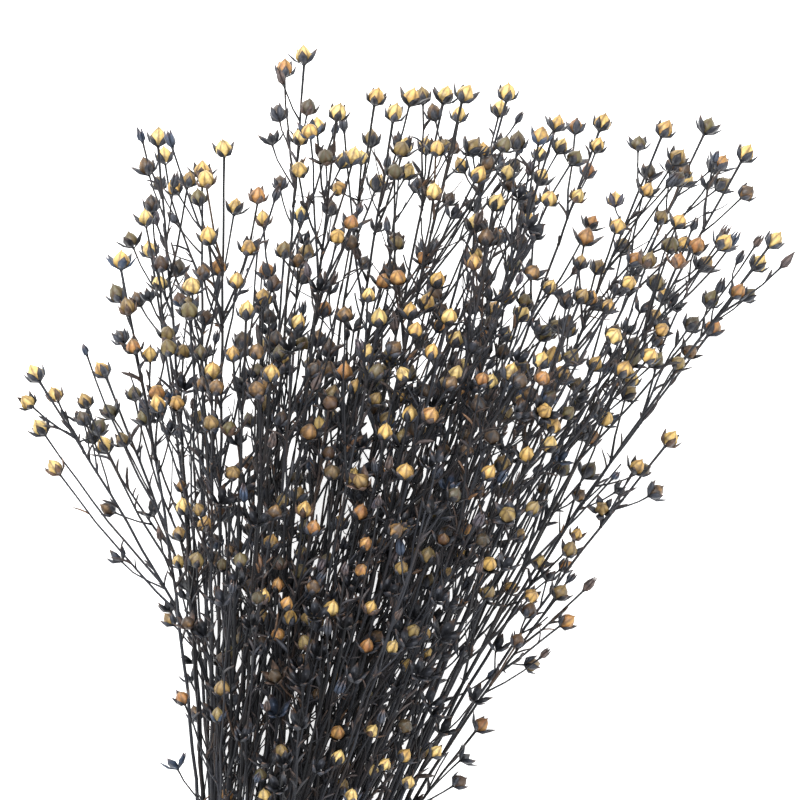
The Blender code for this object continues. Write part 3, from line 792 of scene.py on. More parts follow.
def fork_toward(parent: Rod, target: np.ndarray,
                angle: float) -> tuple[np.ndarray, np.ndarray, float]:
    """Finds where on a parent a path to the target leaves at about the angle.

    Args:
        parent: the rod to leave.
        target: the far end of the path.
        angle: the wanted angle, in radians.

    Returns:
        The place, the parent's direction there and the place in steps of its points.
    """
    found = []
    back = FAN.fork_first
    steps = np.linalg.norm(np.diff(parent.points, axis=0), axis=1)
    limit = steps.sum() * FAN.fork_limb_share
    if parent.kind is Kind.STEM:
        limit = steps[2:].sum() - FAN.fork_stem_end
    while back < limit:
        spot = parent.along(back)
        reach = target - spot[0]
        length = np.linalg.norm(reach)
        off = math.acos(max(-1.0, min(1.0, reach @ spot[1] / length)))
        found.append((abs(off - angle) + FAN.reach_cost * length, spot))
        back += FAN.fork_step
    return min(found, key=lambda item: item[0])[1]


def bent_rod(parent: Rod, spot: tuple[np.ndarray, np.ndarray, float], target: np.ndarray,
             radii: Sequence[float], kind: Kind, rng: random.Random) -> Rod:
    """Bends a rod in a smooth path from its parent to a target.

    Args:
        parent: the rod it leaves.
        spot: the place where it does, the parent's direction there, and the place in steps.
        target: its far end.
        radii: the radius at each point of its coarse path.
        kind: which part it is.
        rng: the spray's draws.

    Returns:
        The rod, with nothing at its end.
    """
    origin, tangent, place = spot
    reach = target - origin
    length = np.linalg.norm(reach)
    ahead = reach / length
    out = ahead - tangent * (ahead @ tangent)
    start = unit(ahead + FAN.fork_spread * out)
    wander = np.array([rng.uniform(-1, 1) for _ in range(3)])
    end = unit(ahead + FAN.end_follow * tangent + FAN.end_wander * wander)
    frame = (origin, origin + start * length / 3, target - end * length / 3, target)
    steps = len(radii) - 1
    points = np.array([bezier(frame, i / steps) for i in range(steps + 1)])
    up = square_to(parent.up, unit(points[1] - points[0]))
    return Rod(points, radii, up, kind, end, frame, Fork(parent, place))


@dataclass(frozen=True)
class Growth:
    """How much fine growth each spray gets beside what the solids show."""

    seed: int = 31
    claim_reach: float = 6.5
    place_side: Range = (3.0, 24.0)
    place_overshoot: float = 14.0
    place_sprays: int = 7
    place_tries: int = 7
    place_shake: float = 0.8
    bright_rise: Range = (-1.0, 12.0)
    dim_rise: Range = (-14.0, 2.0)
    head_branch: Habit = Habit(angle=(12.0, 24.0), size=(0.86, 1.04))
    edge_y: float = 200.0
    edge_share: float = 0.35
    low_y: float = 250.0
    low_loss: float = 0.75
    thicket_share: float = 0.5
    thicket_reach: Range = (-8.0, 70.0)
    thicket_top: float = 8.0
    thicket_rise: Range = (-18.0, 8.0)
    side_stems: int = 10
    side_tries: int = 26
    side_start: Range = (42.0, 170.0)
    side_start_top: float = 100.0
    side_least: float = 60.0
    side_most: float = 190.0
    side_full_y: float = 235.0
    side_full_share: float = 0.8
    side_full_top: float = 20.0
    side_back: Range = (12.0, 60.0)
    side_offset: Range = (5.0, 26.0)
    side_turn: Range = (-1.3, 1.3)
    side_size: Range = (0.8, 0.98)
    outward_share: float = 0.5
    left_share: float = 0.22
    outward_offset: Range = (14.0, 70.0)
    outward_turn: Range = (-0.5, 0.5)
    outward_x: float = 25.0
    stalks: int = 4
    long_stalk: Habit = Habit(angle=(20.0, 40.0), size=(0.78, 1.0), back=(15.0, 170.0),
                              side=(6.0, 13.0))
    twigs: int = 13
    twig_tries: int = 8
    twig: Habit = Habit(angle=(12.0, 45.0), back=(10.0, 0.75), side=(4.0, 16.0))
    twig_reach: float = 20.0
    twig_radii: tuple[float, ...] = (0.3, 0.3, 0.2)
    leaves: int = 22
    leaf_share: float = 0.8
    small_leaf: Habit = Habit(angle=(22.0, 55.0), back=(8.0, 230.0), length=(5.0, 11.0))
    bract_chance: float = 0.85
    bract_shake: float = 0.35
    bract_low_z: float = 1.0
    bract: Habit = Habit(angle=(24.0, 52.0), length=(3.0, 8.0))
    endings: tuple[Ending, ...] = (Ending.CAPSULE, Ending.CAPSULE, Ending.CAPSULE,
                                   Ending.HUSK, Ending.HUSK, Ending.CAPSULE, Ending.BUD,
                                   Ending.BARE)
    clearance: float = -0.25
    thin: tuple[float, ...] = (0.36, 0.36, 0.34, 0.32, 0.3)


GROWTH = Growth()


class Spray:
    """One plant: its stem, its branches, and the stalks that carry its heads."""

    def __init__(self, index: int, row: SprayRow, cell: np.ndarray, room: Room) -> None:
        """Lays the main stem.

        Args:
            index: the spray's index, from 0.
            row: its row of the table.
            cell: its place in the tie.
            room: what all the sprays have placed so far.
        """
        self.index = index
        self.room = room
        self.clearance = FAN.clearance
        self.rng = random.Random(FAN.seed * 1000 + index)
        self.tip = tip_of(row)
        self.ends = row[3]
        points, radii = main_stem(self.tip, cell, self.rng)
        lean = self.shake(FAN.top_lean)
        if self.tip[2] == FAN.head_rest_z:
            lean[2] = 0.0
        self.main = Rod(points, radii, UPWARD, Kind.STEM,
                        unit(unit(points[-1] - points[-2]) + lean), ending=Ending.CAPSULE,
                        size=self.draw(FAN.top_size))
        self.rods = [self.main]

    def draw(self, span: Range) -> float:
        """A random value in a range."""
        return self.rng.uniform(*span)

    def shake(self, amount: float) -> np.ndarray:
        """A random step of up to the amount along each axis."""
        return np.array([self.rng.uniform(-amount, amount) for _ in range(3)])

    def bend_clear(self) -> None:
        """Moves the stem's upper points away from the stems before it that it comes near."""
        points = self.main.points
        sideways = ACROSS + UPWARD
        moved = self.index > 0
        for _ in range(FAN.bend_rounds):
            if not moved:
                break
            moved = False
            for index in range(2, len(points) - 1):
                lack, away = self.room.lack(points[index], points[index + 1],
                                            self.main.radii[index], FAN.stem_clearance)
                if lack <= 0.0:
                    continue
                push = away * (lack + FAN.bend_surplus) * sideways
                moved = True
                if index > 2:
                    points[index] += push
                if index < len(points) - 2:
                    points[index + 1] += push
            low, high, radius, _ = self.main.segments()[-1]
            lack, away = self.room.lack(low, high, radius, FAN.clearance)
            if lack > 0.0:
                moved = True
                points[-1] += away * (lack + FAN.head_surplus) * sideways
        self.room.add(self.main.segments(), self.index)

    def is_above_surface(self, rod: Rod) -> bool:
        """Whether a rod and its head keep off the surface."""
        is_clear = rod.ending is not Ending.CAPSULE or rod.middle()[2] > FAN.lowest_head
        return is_clear and rod.points[1:, 2].min() > FAN.lowest_rod

    def add_rod(self, make: Callable[..., Rod | None], *about: object,
                tries: int = FAN.tries) -> Rod | None:
        """Draws a rod again until it fits.

        Args:
            make: draws one rod, or None where it can't.
            about: what that needs to know.
            tries: how often it may be drawn.

        Returns:
            The rod that was added, or None if none fits.
        """
        for _ in range(tries):
            rod = make(*about)
            if rod is None or not self.is_above_surface(rod):
                continue
            if self.room.is_free(rod.segments(), self.index, self.clearance):
                self.room.add(rod.segments(), self.index)
                self.rods.append(rod)
                return rod
        return None

    def grow(self, parent: Rod, target: np.ndarray, habit: Habit, radii: Sequence[float],
             kind: Kind, ending: Ending | None) -> Rod:
        """Draws a rod that grows from a parent to a target.

        Args:
            parent: the rod it leaves.
            target: its far end.
            habit: how it leaves.
            radii: the radius at each point of its coarse path.
            kind: which part it is.
            ending: what it carries, or None to draw that too.

        Returns:
            The rod.
        """
        angle = math.radians(self.draw(habit.angle))
        size = 1.0 if kind is Kind.TWIG else self.draw(habit.size)
        ending = ending or self.drawn_ending(target)
        spot = fork_toward(parent, target, angle)
        made = bent_rod(parent, spot, target, radii, kind, self.rng)
        return replace(made, ending=ending, size=size)

    def beside(self, parent: Rod, back: float, side: float, turn: float) -> np.ndarray:
        """The place at a distance back along a parent, and a distance to its side."""
        here, ahead, _ = parent.along(back)
        return here + ring(ahead, turn) * side

    def branch(self, level: float, place: Place, habit: Habit, radii: Sequence[float]) -> Rod:
        """Draws a branch with a head.

        Args:
            level: the stem's height there.
            place: where the branch ends in X and Y.
            habit: how it leaves the stem.
            radii: the radius at each point of its coarse path.

        Returns:
            The branch.
        """
        z = max(level + self.draw(habit.rise), FAN.head_low_z)
        target = np.array((*place, z), float) + self.shake(FAN.place_shake)
        return self.grow(self.main, target, habit, radii, Kind.BRANCH, Ending.CAPSULE)

    def stalk(self, parent: Rod, ending: Ending | None, habit: Habit = STALK) -> Rod:
        """Draws a thin stalk with a head.

        Args:
            parent: the rod it leaves.
            ending: its head, or None to draw that too.
            habit: how it leaves.

        Returns:
            The stalk.
        """
        back = self.draw(habit.back)
        target = self.beside(parent, back, self.draw(habit.side), self.draw(FULL_TURN))
        return self.grow(parent, target, habit, (FAN.stalk_radius,) * 2, Kind.STALK, ending)

    def leaf(self, parent: Rod, habit: Habit = LEAF) -> Rod:
        """Draws a narrow leaf.

        Args:
            parent: the rod it leaves.
            habit: how it leaves.

        Returns:
            The leaf.
        """
        back = self.draw(habit.back)
        length = self.draw(habit.length)
        turn = self.draw(FULL_TURN)
        lean = math.radians(self.draw(habit.angle))
        here, ahead, place = parent.along(back)
        tip = here + (ahead * math.cos(lean) + ring(ahead, turn) * math.sin(lean)) * length
        return Rod(np.array([here, tip]), FAN.leaf_radii, ahead, Kind.LEAF, ahead,
                   fork=Fork(parent, place))

    def fill(self) -> None:
        """Adds the branches, the stalks and one leaf, with the same draws as the solids."""
        thick = FAN.branch_radius
        radii = (thick, thick, thick - FAN.branch_taper, FAN.stalk_radius)
        made = [self.add_rod(self.branch, self.tip[2], place, BRANCH, radii)
                for place in self.ends]
        branches = [rod for rod in made if rod is not None]
        for parent in [self.main] + branches[:1]:
            self.add_rod(self.stalk, parent, Ending.CAPSULE)
        if self.index % 3 == 0:
            self.add_rod(self.stalk, self.main, Ending.BUD)
        self.add_rod(self.leaf, (branches + [self.main])[0 if self.index % 2 else -1])

    def offset_to(self, place: Place) -> float | None:
        """How badly the stem suits a head that is to be seen at a place.

        Args:
            place: the place, in the view's plane.

        Returns:
            The distance beside the stem less its height there, or None if it can't reach.
        """
        x, z = self.main.at(place[1])
        if self.tip[1] < place[1] - GROWTH.place_overshoot:
            return None
        side = abs(x - VIEW.real(place, z)[0])
        return side - z if GROWTH.place_side[0] <= side <= GROWTH.place_side[1] else None

    def seen_branch(self, place: Place, ripeness: Ripeness | None) -> Rod:
        """Draws a thin branch with a head that the camera sees at a place.

        Args:
            place: the place, in the view's plane.
            ripeness: that of its capsule, or None for a closed bud.

        Returns:
            The branch.
        """
        rise = self.draw(GROWTH.bright_rise if ripeness in BRIGHT else GROWTH.dim_rise)
        z = max(self.main.at(place[1])[1] + rise, FAN.head_low_z)
        x, y = VIEW.real(place, z)
        target = np.array((x, y - HEAD_MIDDLE, z)) + self.shake(GROWTH.place_shake)
        ending = Ending.BUD if ripeness is None else Ending.CAPSULE
        made = self.grow(self.main, target, GROWTH.head_branch, GROWTH.thin[:4], Kind.BRANCH,
                         ending)
        return replace(made, ripeness=ripeness, is_extra=True)

    def drawn_ending(self, target: np.ndarray) -> Ending:
        """Draws what a fine stem carries: low down it has mostly lost its capsule.

        Args:
            target: its far end.

        Returns:
            What it carries.
        """
        ending = self.rng.choice(GROWTH.endings)
        is_low = target[1] < GROWTH.low_y and self.rng.random() < GROWTH.low_loss
        return Ending.HUSK if is_low and ending is Ending.CAPSULE else ending

    def thicket_target(self) -> np.ndarray | None:
        """Draws a place in a thicket.

        Returns:
            The place, or None if the stem passes far from it.
        """
        x, y, spread = self.rng.choice(THICKETS)
        x += self.rng.gauss(0.0, spread)
        y += self.rng.gauss(0.0, spread)
        here, level = self.main.at(y)
        out = x - here if x > GROWTH.outward_x else here - x
        low, high = GROWTH.thicket_reach
        if not low < out < high or y > self.tip[1] - GROWTH.thicket_top:
            return None
        return np.array((x, y, level + self.draw(GROWTH.thicket_rise)))

    def passing_target(self, start_y: float, slant: float) -> np.ndarray:
        """Draws a place beside the stem, or further outward from it.

        Args:
            start_y: where the side stem starts.
            slant: the length of the stem for each millimetre along the bunch.

        Returns:
            The place.
        """
        last = self.tip[1] - self.draw(GROWTH.side_back)
        low = start_y + GROWTH.side_least
        if self.rng.random() < GROWTH.side_full_share:
            low = max(low, min(GROWTH.side_full_y, last - GROWTH.side_full_top))
        back = (self.tip[1] - self.rng.uniform(min(low, last), last)) * slant
        side = self.draw(GROWTH.side_offset)
        turn = self.rng.choice((0.0, math.pi)) + self.draw(GROWTH.side_turn)
        is_left = self.main.at(GROWTH.side_full_y)[0] < GROWTH.outward_x
        if self.rng.random() < (GROWTH.left_share if is_left else GROWTH.outward_share):
            side = self.draw(GROWTH.outward_offset)
            turn = self.draw(GROWTH.outward_turn) + (math.pi if is_left else 0.0)
        return self.beside(self.main, back, side, turn)

    def side_stem(self) -> Rod | None:
        """Draws a long thin stem that leaves the main one low down.

        Returns:
            The side stem, or None if it leaves the dense part of the bunch.
        """
        slant = self.main.length() / (self.tip[1] - self.main.points[0][1])
        start_y = min(self.draw(GROWTH.side_start), self.tip[1] - GROWTH.side_start_top)
        if self.rng.random() < GROWTH.thicket_share:
            target = self.thicket_target()
        else:
            target = self.passing_target(start_y, slant)
        if target is None or not OUTLINE.holds(target):
            return None
        start_y = min(start_y, target[1] - GROWTH.side_least)
        if target[1] - start_y > GROWTH.side_most:
            start_y = target[1] - self.rng.uniform(GROWTH.side_least, GROWTH.side_most)
        spot = self.main.along((self.tip[1] - start_y) * slant)
        made = bent_rod(self.main, spot, target, GROWTH.thin, Kind.SIDE_STEM, self.rng)
        if not all(OUTLINE.holds(point) for point in made.points[2:]):
            return None
        made.ending = self.drawn_ending(target)
        made.size = self.draw(GROWTH.side_size)
        made.is_extra = True
        return made

    def twig(self, parent: Rod) -> Rod | None:
        """Draws a thin bare side shoot that has lost its head.

        Args:
            parent: the rod it leaves.

        Returns:
            The twig, or None if it leaves the dense part of the bunch.
        """
        habit = GROWTH.twig
        reach = max(GROWTH.twig_reach, habit.back[1] * parent.length())
        back = self.rng.uniform(habit.back[0], reach)
        target = self.beside(parent, back, self.draw(habit.side), self.draw(FULL_TURN))
        if not OUTLINE.holds(target):
            return None
        return self.grow(parent, target, habit, GROWTH.twig_radii, Kind.TWIG, Ending.BARE)

    def bract(self, rod: Rod) -> None:
        """Adds the small pointed leaf under the fork where a rod leaves its parent.

        Args:
            rod: the rod.
        """
        here = rod.points[0]
        ahead = unit(rod.points[1] - here)
        along = rod.fork.parent.along(1.0)[1]
        out = ahead - along * (ahead @ along) + self.shake(GROWTH.bract_shake)
        lean = math.radians(self.draw(GROWTH.bract.angle))
        length = self.draw(GROWTH.bract.length)
        tip = here + (along * math.cos(lean) + unit(out) * math.sin(lean)) * length
        if tip[2] > GROWTH.bract_low_z:
            self.rods.append(Rod(np.array([here, tip]), FAN.leaf_radii, along, Kind.LEAF,
                                 along, fork=rod.fork))

    def start_growth(self) -> None:
        """Starts the draws of the finer growth, which may stand closer."""
        self.clearance = GROWTH.clearance
        self.rng = random.Random(GROWTH.seed * 1000 + self.index)

    def enrich(self) -> None:
        """Adds the finer growth that the solids leave out."""
        here = np.array((self.main.at(GROWTH.edge_y)[0], GROWTH.edge_y))
        share = 1.0 if OUTLINE.holds(here) else GROWTH.edge_share
        parents = [self.main]
        limbs = [rod for rod in self.rods if rod.kind in (Kind.STEM, Kind.BRANCH)]
        for _ in range(round(GROWTH.side_stems * share)):
            made = self.add_rod(self.side_stem, tries=GROWTH.side_tries)
            if made is not None:
                parents.append(made)
                self.add_rod(self.stalk, made, None)
        for _ in range(GROWTH.stalks):
            self.add_rod(self.stalk, self.main, None, GROWTH.long_stalk)
        parents += limbs
        for _ in range(round(GROWTH.twigs * share)):
            self.add_rod(self.twig, self.rng.choice(parents), tries=GROWTH.twig_tries)
        for rod in list(self.rods):
            if rod.fork is not None and rod.kind is not Kind.LEAF:
                if self.rng.random() < GROWTH.bract_chance:
                    self.bract(rod)
        first, last = GROWTH.small_leaf.back
        for _ in range(round(GROWTH.leaves * share)):
            parent = self.rng.choice(parents)
            back = (first, min(GROWTH.leaf_share * parent.length(), last))
            self.add_rod(self.leaf, parent, replace(GROWTH.small_leaf, back=back))
        for rod in self.rods:
            rod.settle(self.rng)


def share_low_heads(sprays: Sequence[Spray]) -> None:
    """Grows each low head from the highest stem that passes beside it and can carry it.

    Args:
        sprays: the sprays, each of which carries one at most.
    """
    free = list(sprays)
    radii = (FAN.branch_radius, FAN.branch_radius, FAN.stalk_radius)
    for place in LOW_HEADS:
        found = []
        for spray in free:
            x, z = spray.main.at(place[1])
            side = abs(x - place[0])
            is_beside = FAN.low_head_side[0] <= side <= FAN.low_head_side[1]
            if is_beside and spray.tip[1] >= place[1] + FAN.low_head_drop:
                found.append((side - z, spray.index, spray))
        for _, _, spray in sorted(found)[:FAN.low_head_tries]:
            level = spray.main.at(place[1])[1]
            if spray.add_rod(spray.branch, level, place, LOW_BRANCH, radii) is not None:
                free.remove(spray)
                break


def claim_places(sprays: Sequence[Spray]) -> list[tuple[Place, Ripeness | None]]:
    """Gives each head that is there the ripeness of the nearest place, each place once.

    Args:
        sprays: the sprays that carry the heads.

    Returns:
        The places that are left, each with its ripeness or None for a closed bud.
    """
    wanted = [(place, ripeness) for ripeness, places in SEEN_PLACES.items() for place in places]
    pairs = []
    for rod in (rod for spray in sprays for rod in spray.rods):
        if rod.ending not in (Ending.CAPSULE, Ending.BUD):
            continue
        seen = VIEW.seen(rod.middle())
        for number, (place, ripeness) in enumerate(wanted):
            if (rod.ending is Ending.BUD) is (ripeness is None):
                pairs.append((float(np.linalg.norm(seen - place)), number, rod))
    used: set[int] = set()
    ripe: set[Rod] = set()
    for off, number, rod in sorted(pairs, key=lambda pair: pair[:2]):
        if off <= GROWTH.claim_reach and number not in used and rod not in ripe:
            used.add(number)
            ripe.add(rod)
            rod.ripeness = wanted[number][1]
    return [item for number, item in enumerate(wanted) if number not in used]


def grow_seen_heads(sprays: Sequence[Spray],
                    wanted: Sequence[tuple[Place, Ripeness | None]]) -> None:
    """Grows a thin branch to each place that is left, from a stem that passes it.

    Args:
        sprays: the sprays.
        wanted: the places, each with its ripeness or None for a closed bud.
    """
    missing = 0
    for place, ripeness in wanted:
        offsets = [(spray.offset_to(place), spray.index) for spray in sprays]
        found = sorted(item for item in offsets if item[0] is not None)
        for _, index in found[:GROWTH.place_sprays]:
            if sprays[index].add_rod(sprays[index].seen_branch, place, ripeness,
                                     tries=GROWTH.place_tries) is not None:
                break
        else:
            missing += 1
    LOG.info("heads grown to a place: %d of %d", len(wanted) - missing, len(wanted))


def drawn_ripeness_and_shade(y: float, rng: random.Random) -> Ripeness:
    """Draws the ripeness of a capsule that no place is given for.

    Args:
        y: where the camera sees it along the bunch.
        rng: the draws.

    Returns:
        The ripeness, more often dim below and bright above: partly ripeness, partly painted
        shade.
    """
    shares = next((row for limit, row in RIPENESS_AND_SHADE_SHARES if y < limit),
                  RIPENESS_AND_SHADE_SHARES[-1][1])
    return rng.choices(list(shares), list(shares.values()))[0]


def hex_colour(code: str) -> tuple[float, float, float, float]:
    """The linear colour, with alpha, of an sRGB hex code."""
    parts = [int(code[i:i + 2], 16) / 255.0 for i in (1, 3, 5)]
    return (*(p / 12.92 if p <= 0.04045 else ((p + 0.055) / 1.055) ** 2.4 for p in parts), 1.0)


def fill_sockets(tree: bpy.types.NodeTree, node: bpy.types.Node, given: dict) -> None:
    """Gives a node's input sockets their values and links.

    Args:
        tree: the node tree.
        node: the node.
        given: a value, or the output that leads there, for each socket by name or index.
    """
    for key, value in given.items():
        if isinstance(value, bpy.types.NodeSocket):
            tree.links.new(value, node.inputs[key])
        else:
            node.inputs[key].default_value = value


def add_node(tree: bpy.types.NodeTree, kind: str, output: str | int, given: dict,
             stops: Sequence[tuple[float, str]] = (), **settings: object) -> bpy.types.NodeSocket:
    """Adds a node with its settings and links.

    Args:
        tree: the node tree.
        kind: the node's type, without its ShaderNode prefix.
        output: the output that is used, by name or index.
        given: a value, or the output that leads there, for each input by name or index.
        stops: the places and hex colours of a colour ramp.
        settings: the node's properties.

    Returns:
        The output that is used.
    """
    node = tree.nodes.new("ShaderNode" + kind)
    for key, value in settings.items():
        setattr(node, key, value)
    fill_sockets(tree, node, given)
    for number, (place, colour) in enumerate(stops):
        elements = node.color_ramp.elements
        element = elements[number] if number < 2 else elements.new(place)
        element.position = place
        element.color = hex_colour(colour)
    return node.outputs[output]


TINTS = ("tone", "rise", "crease", "hue")
MIX = {"data_type": "RGBA"}
SHADE = {"data_type": "RGBA", "blend_type": "MULTIPLY"}
AddNode = Callable[..., bpy.types.NodeSocket]


class Finish:
    """What the finishes share: each makes a material with one Principled shader."""

    name: str

    def shading(self, add: AddNode) -> dict:
        """Builds the nodes of the finish.

        Args:
            add: adds a node to the material.

        Returns:
            What the shader's sockets are given.
        """
        raise NotImplementedError

    def material(self) -> bpy.types.Material:
        """Makes the material.

        Returns:
            The material.
        """
        made = bpy.data.materials.new(self.name)
        made.use_nodes = True
        tree = made.node_tree
        shader = tree.nodes["Principled BSDF"]
        fill_sockets(tree, shader, self.shading(partial(add_node, tree)))
        return made


@dataclass(frozen=True)
class StemFinish(Finish):
    """Dried flax stem, dyed black: a dull near-black skin with fibres along it.

    The dye is thinner in places, where the brown straw shows through.
    """

    name: str = "dyed flax stem"
    black: str = "#0c0d10"
    slate: str = "#2a2c33"
    brown: str = "#2b221f"
    straw: str = "#4c3a2d"
    fibre_mm: float = 0.35
    fibre_stretch: float = 0.06
    fibre_relief_mm: float = 0.06
    patch_mm: float = 18.0

    def shading(self, add: AddNode) -> dict:
        """Builds the nodes of the finish.

        Args:
            add: adds a node to the material.

        Returns:
            What the shader's sockets are given.
        """
        place = add("TexCoord", "Object", {})
        along = add("Mapping", 0, {"Vector": place, "Scale": (1.0, self.fibre_stretch, 1.0)})
        fibres = add("TexNoise", 0, {"Vector": along, "Scale": 1 / (self.fibre_mm * MM),
                                     "Detail": 2.0})
        patches = add("TexNoise", 0, {"Vector": place, "Scale": 1 / (self.patch_mm * MM),
                                      "Detail": 3.0})
        tone, hue = (add("Attribute", "Fac", {}, attribute_name=key) for key in ("tone", "hue"))
        shade = add("ValToRGB", 0, {"Fac": tone}, ((0.0, self.black), (1.0, self.slate)))
        browned = add("MapRange", 0, {"Value": patches, "From Min": 0.5, "From Max": 0.72,
                                      "To Max": 0.75})
        body = add("Mix", 2, {0: browned, 6: shade, 7: hex_colour(self.brown)}, **MIX)
        faded = add("Mix", 2, {0: hue, 6: body, 7: hex_colour(self.straw)}, **MIX)
        light = add("MapRange", 0, {"Value": fibres, "From Min": 0.3, "From Max": 0.7,
                                    "To Min": 0.7, "To Max": 1.35})
        drawn = add("Mix", 2, {0: 1.0, 6: faded, 7: light}, **SHADE)
        bump = add("Bump", 0, {"Height": fibres, "Strength": 0.5,
                               "Distance": self.fibre_relief_mm * MM})
        return {"Base Color": drawn, "Normal": bump, "Roughness": 0.58,
                "Specular IOR Level": 0.38}


@dataclass(frozen=True)
class LeafFinish(Finish):
    """Shrivelled flax leaf and sepal, dyed slate to black, with brown dry tips and a painted
    highlight along each sepal's keel.
    """

    name: str = "dyed flax leaf"
    black: str = "#14151a"
    slate: str = "#34373f"
    blue: str = "#2f3b4e"
    brown: str = "#6b4f38"
    vein_mm: float = 0.45
    vein_relief_mm: float = 0.12
    mottle_mm: float = 2.2

    def shading(self, add: AddNode) -> dict:
        """Builds the nodes of the finish.

        Args:
            add: adds a node to the material.

        Returns:
            What the shader's sockets are given.
        """
        place = add("TexCoord", "Object", {})
        mottle = add("TexNoise", 0, {"Vector": place, "Scale": 1 / (self.mottle_mm * MM),
                                     "Detail": 3.0})
        veins = add("TexNoise", 0, {"Vector": place, "Scale": 1 / (self.vein_mm * MM),
                                    "Detail": 1.0})
        tone, rise, crease, hue = (add("Attribute", "Fac", {}, attribute_name=key)
                                   for key in TINTS)
        shade = add("ValToRGB", 0, {"Fac": tone},
                    ((0.0, self.black), (0.75, self.slate), (1.0, self.blue)))
        dry = add("MapRange", 0, {"Value": rise, "From Min": 0.72, "To Max": 0.55})
        dried = add("Math", 0, {0: dry, 1: hue}, operation="MAXIMUM")
        uneven = add("Math", 0, {0: dried, 1: mottle}, operation="MULTIPLY")
        scaled = add("Math", 0, {0: uneven, 1: 1.8}, operation="MULTIPLY", use_clamp=True)
        body = add("Mix", 2, {0: scaled, 6: shade, 7: hex_colour(self.brown)}, **MIX)
        light = add("MapRange", 0, {"Value": mottle, "From Min": 0.3, "From Max": 0.7,
                                    "To Min": 0.65, "To Max": 1.45})
        mottled = add("Mix", 2, {0: 1.0, 6: body, 7: light}, **SHADE)
        # painted highlight: the keel of each sepal, marked as its crease, is made up to half
        # again as light
        keel_highlight = add("MapRange", 0, {"Value": crease, "To Min": 1.0, "To Max": 1.5})
        keel_highlighted = add("Mix", 2, {0: 1.0, 6: mottled, 7: keel_highlight}, **SHADE)
        bump = add("Bump", 0, {"Height": veins, "Strength": 0.5,
                               "Distance": self.vein_relief_mm * MM})
        return {"Base Color": keel_highlighted, "Normal": bump, "Roughness": 0.5,
                "Specular IOR Level": 0.42}


@dataclass(frozen=True)
class CapsuleFinish(Finish):
    """Dry flax seed capsule: thin satin husk, straw yellow when fresh, brown when old."""

    name: str = "dry flax capsule"
    straw: str = "#dcc07c"
    gold: str = "#c9a35c"
    tan: str = "#a57f4e"
    brown: str = "#4a3826"
    dark: str = "#28292e"
    olive: str = "#756c45"
    rust: str = "#a9693a"
    dye: str = "#4a3a28"
    blotch_mm: float = 3.2
    stain_mm: float = 5.5
    wrinkle_mm: float = 0.7
    wrinkle_relief_mm: float = 0.22

    def shading(self, add: AddNode) -> dict:
        """Builds the nodes of the finish.

        Args:
            add: adds a node to the material.

        Returns:
            What the shader's sockets are given.
        """
        place = add("TexCoord", "Object", {})
        blotch = add("TexNoise", 0, {"Vector": place, "Scale": 1 / (self.blotch_mm * MM),
                                     "Detail": 3.0})
        wrinkles = add("TexNoise", 0, {"Vector": place, "Scale": 1 / (self.wrinkle_mm * MM),
                                       "Detail": 3.0})
        stains = add("TexNoise", 0, {"Vector": place, "Scale": 1 / (self.stain_mm * MM),
                                     "Detail": 3.0, "Roughness": 0.65})
        tone, rise, crease, hue = (add("Attribute", "Fac", {}, attribute_name=key)
                                   for key in TINTS)
        uneven = add("MapRange", 0, {"Value": blotch, "From Min": 0.35, "From Max": 0.7,
                                     "To Min": -0.12, "To Max": 0.2})
        age = add("Math", 0, {0: tone, 1: uneven}, operation="ADD", use_clamp=True)
        husk = add("ValToRGB", 0, {"Fac": age},
                   ((0.0, self.straw), (0.98, self.dark), (0.3, self.gold), (0.55, self.tan),
                    (0.8, self.brown)))
        green = add("MapRange", 0, {"Value": hue, "From Min": 0.28, "From Max": 0.0,
                                    "To Max": 0.8})
        greened = add("Mix", 2, {0: green, 6: husk, 7: hex_colour(self.olive)}, **MIX)
        warm = add("MapRange", 0, {"Value": hue, "From Min": 0.6})
        flush = add("Math", 0, {0: warm, 1: blotch}, operation="MULTIPLY")
        warmed = add("Mix", 2, {0: flush, 6: greened, 7: hex_colour(self.rust)}, **MIX)
        beak = add("MapRange", 0, {"Value": rise, "From Min": 0.78, "To Max": 0.6})
        seam = add("MapRange", 0, {"Value": crease, "From Min": 0.5, "To Max": 0.75})
        stain = add("Math", 0, {0: beak, 1: seam}, operation="MAXIMUM")
        stained = add("Mix", 2, {0: stain, 6: warmed, 7: hex_colour(self.brown)}, **MIX)
        dyed = add("MapRange", 0, {"Value": stains, "From Min": 0.5, "From Max": 0.68,
                                   "To Max": 0.7})
        mottled = add("Mix", 2, {0: dyed, 6: stained, 7: hex_colour(self.dye)}, **MIX)
        bump = add("Bump", 0, {"Height": wrinkles, "Strength": 0.6,
                               "Distance": self.wrinkle_relief_mm * MM})
        return {"Base Color": mottled, "Normal": bump, "Roughness": 0.44,
                "Specular IOR Level": 0.5}


@dataclass(frozen=True)
class PithFinish(Finish):
    """The cut end of a dried stem: pale woody pith, rough from the blade."""

    name: str = "cut flax pith"
    pale: str = "#b99f74"
    dark: str = "#6d5436"
    grain_mm: float = 0.4

    def shading(self, add: AddNode) -> dict:
        """Builds the nodes of the finish.

        Args:
            add: adds a node to the material.

        Returns:
            What the shader's sockets are given.
        """
        place = add("TexCoord", "Object", {})
        grain = add("TexNoise", 0, {"Vector": place, "Scale": 1 / (self.grain_mm * MM),
                                    "Detail": 2.0})
        shade = add("ValToRGB", 0, {"Fac": grain}, ((0.35, self.dark), (0.65, self.pale)))
        return {"Base Color": shade, "Roughness": 0.85, "Specular IOR Level": 0.3}


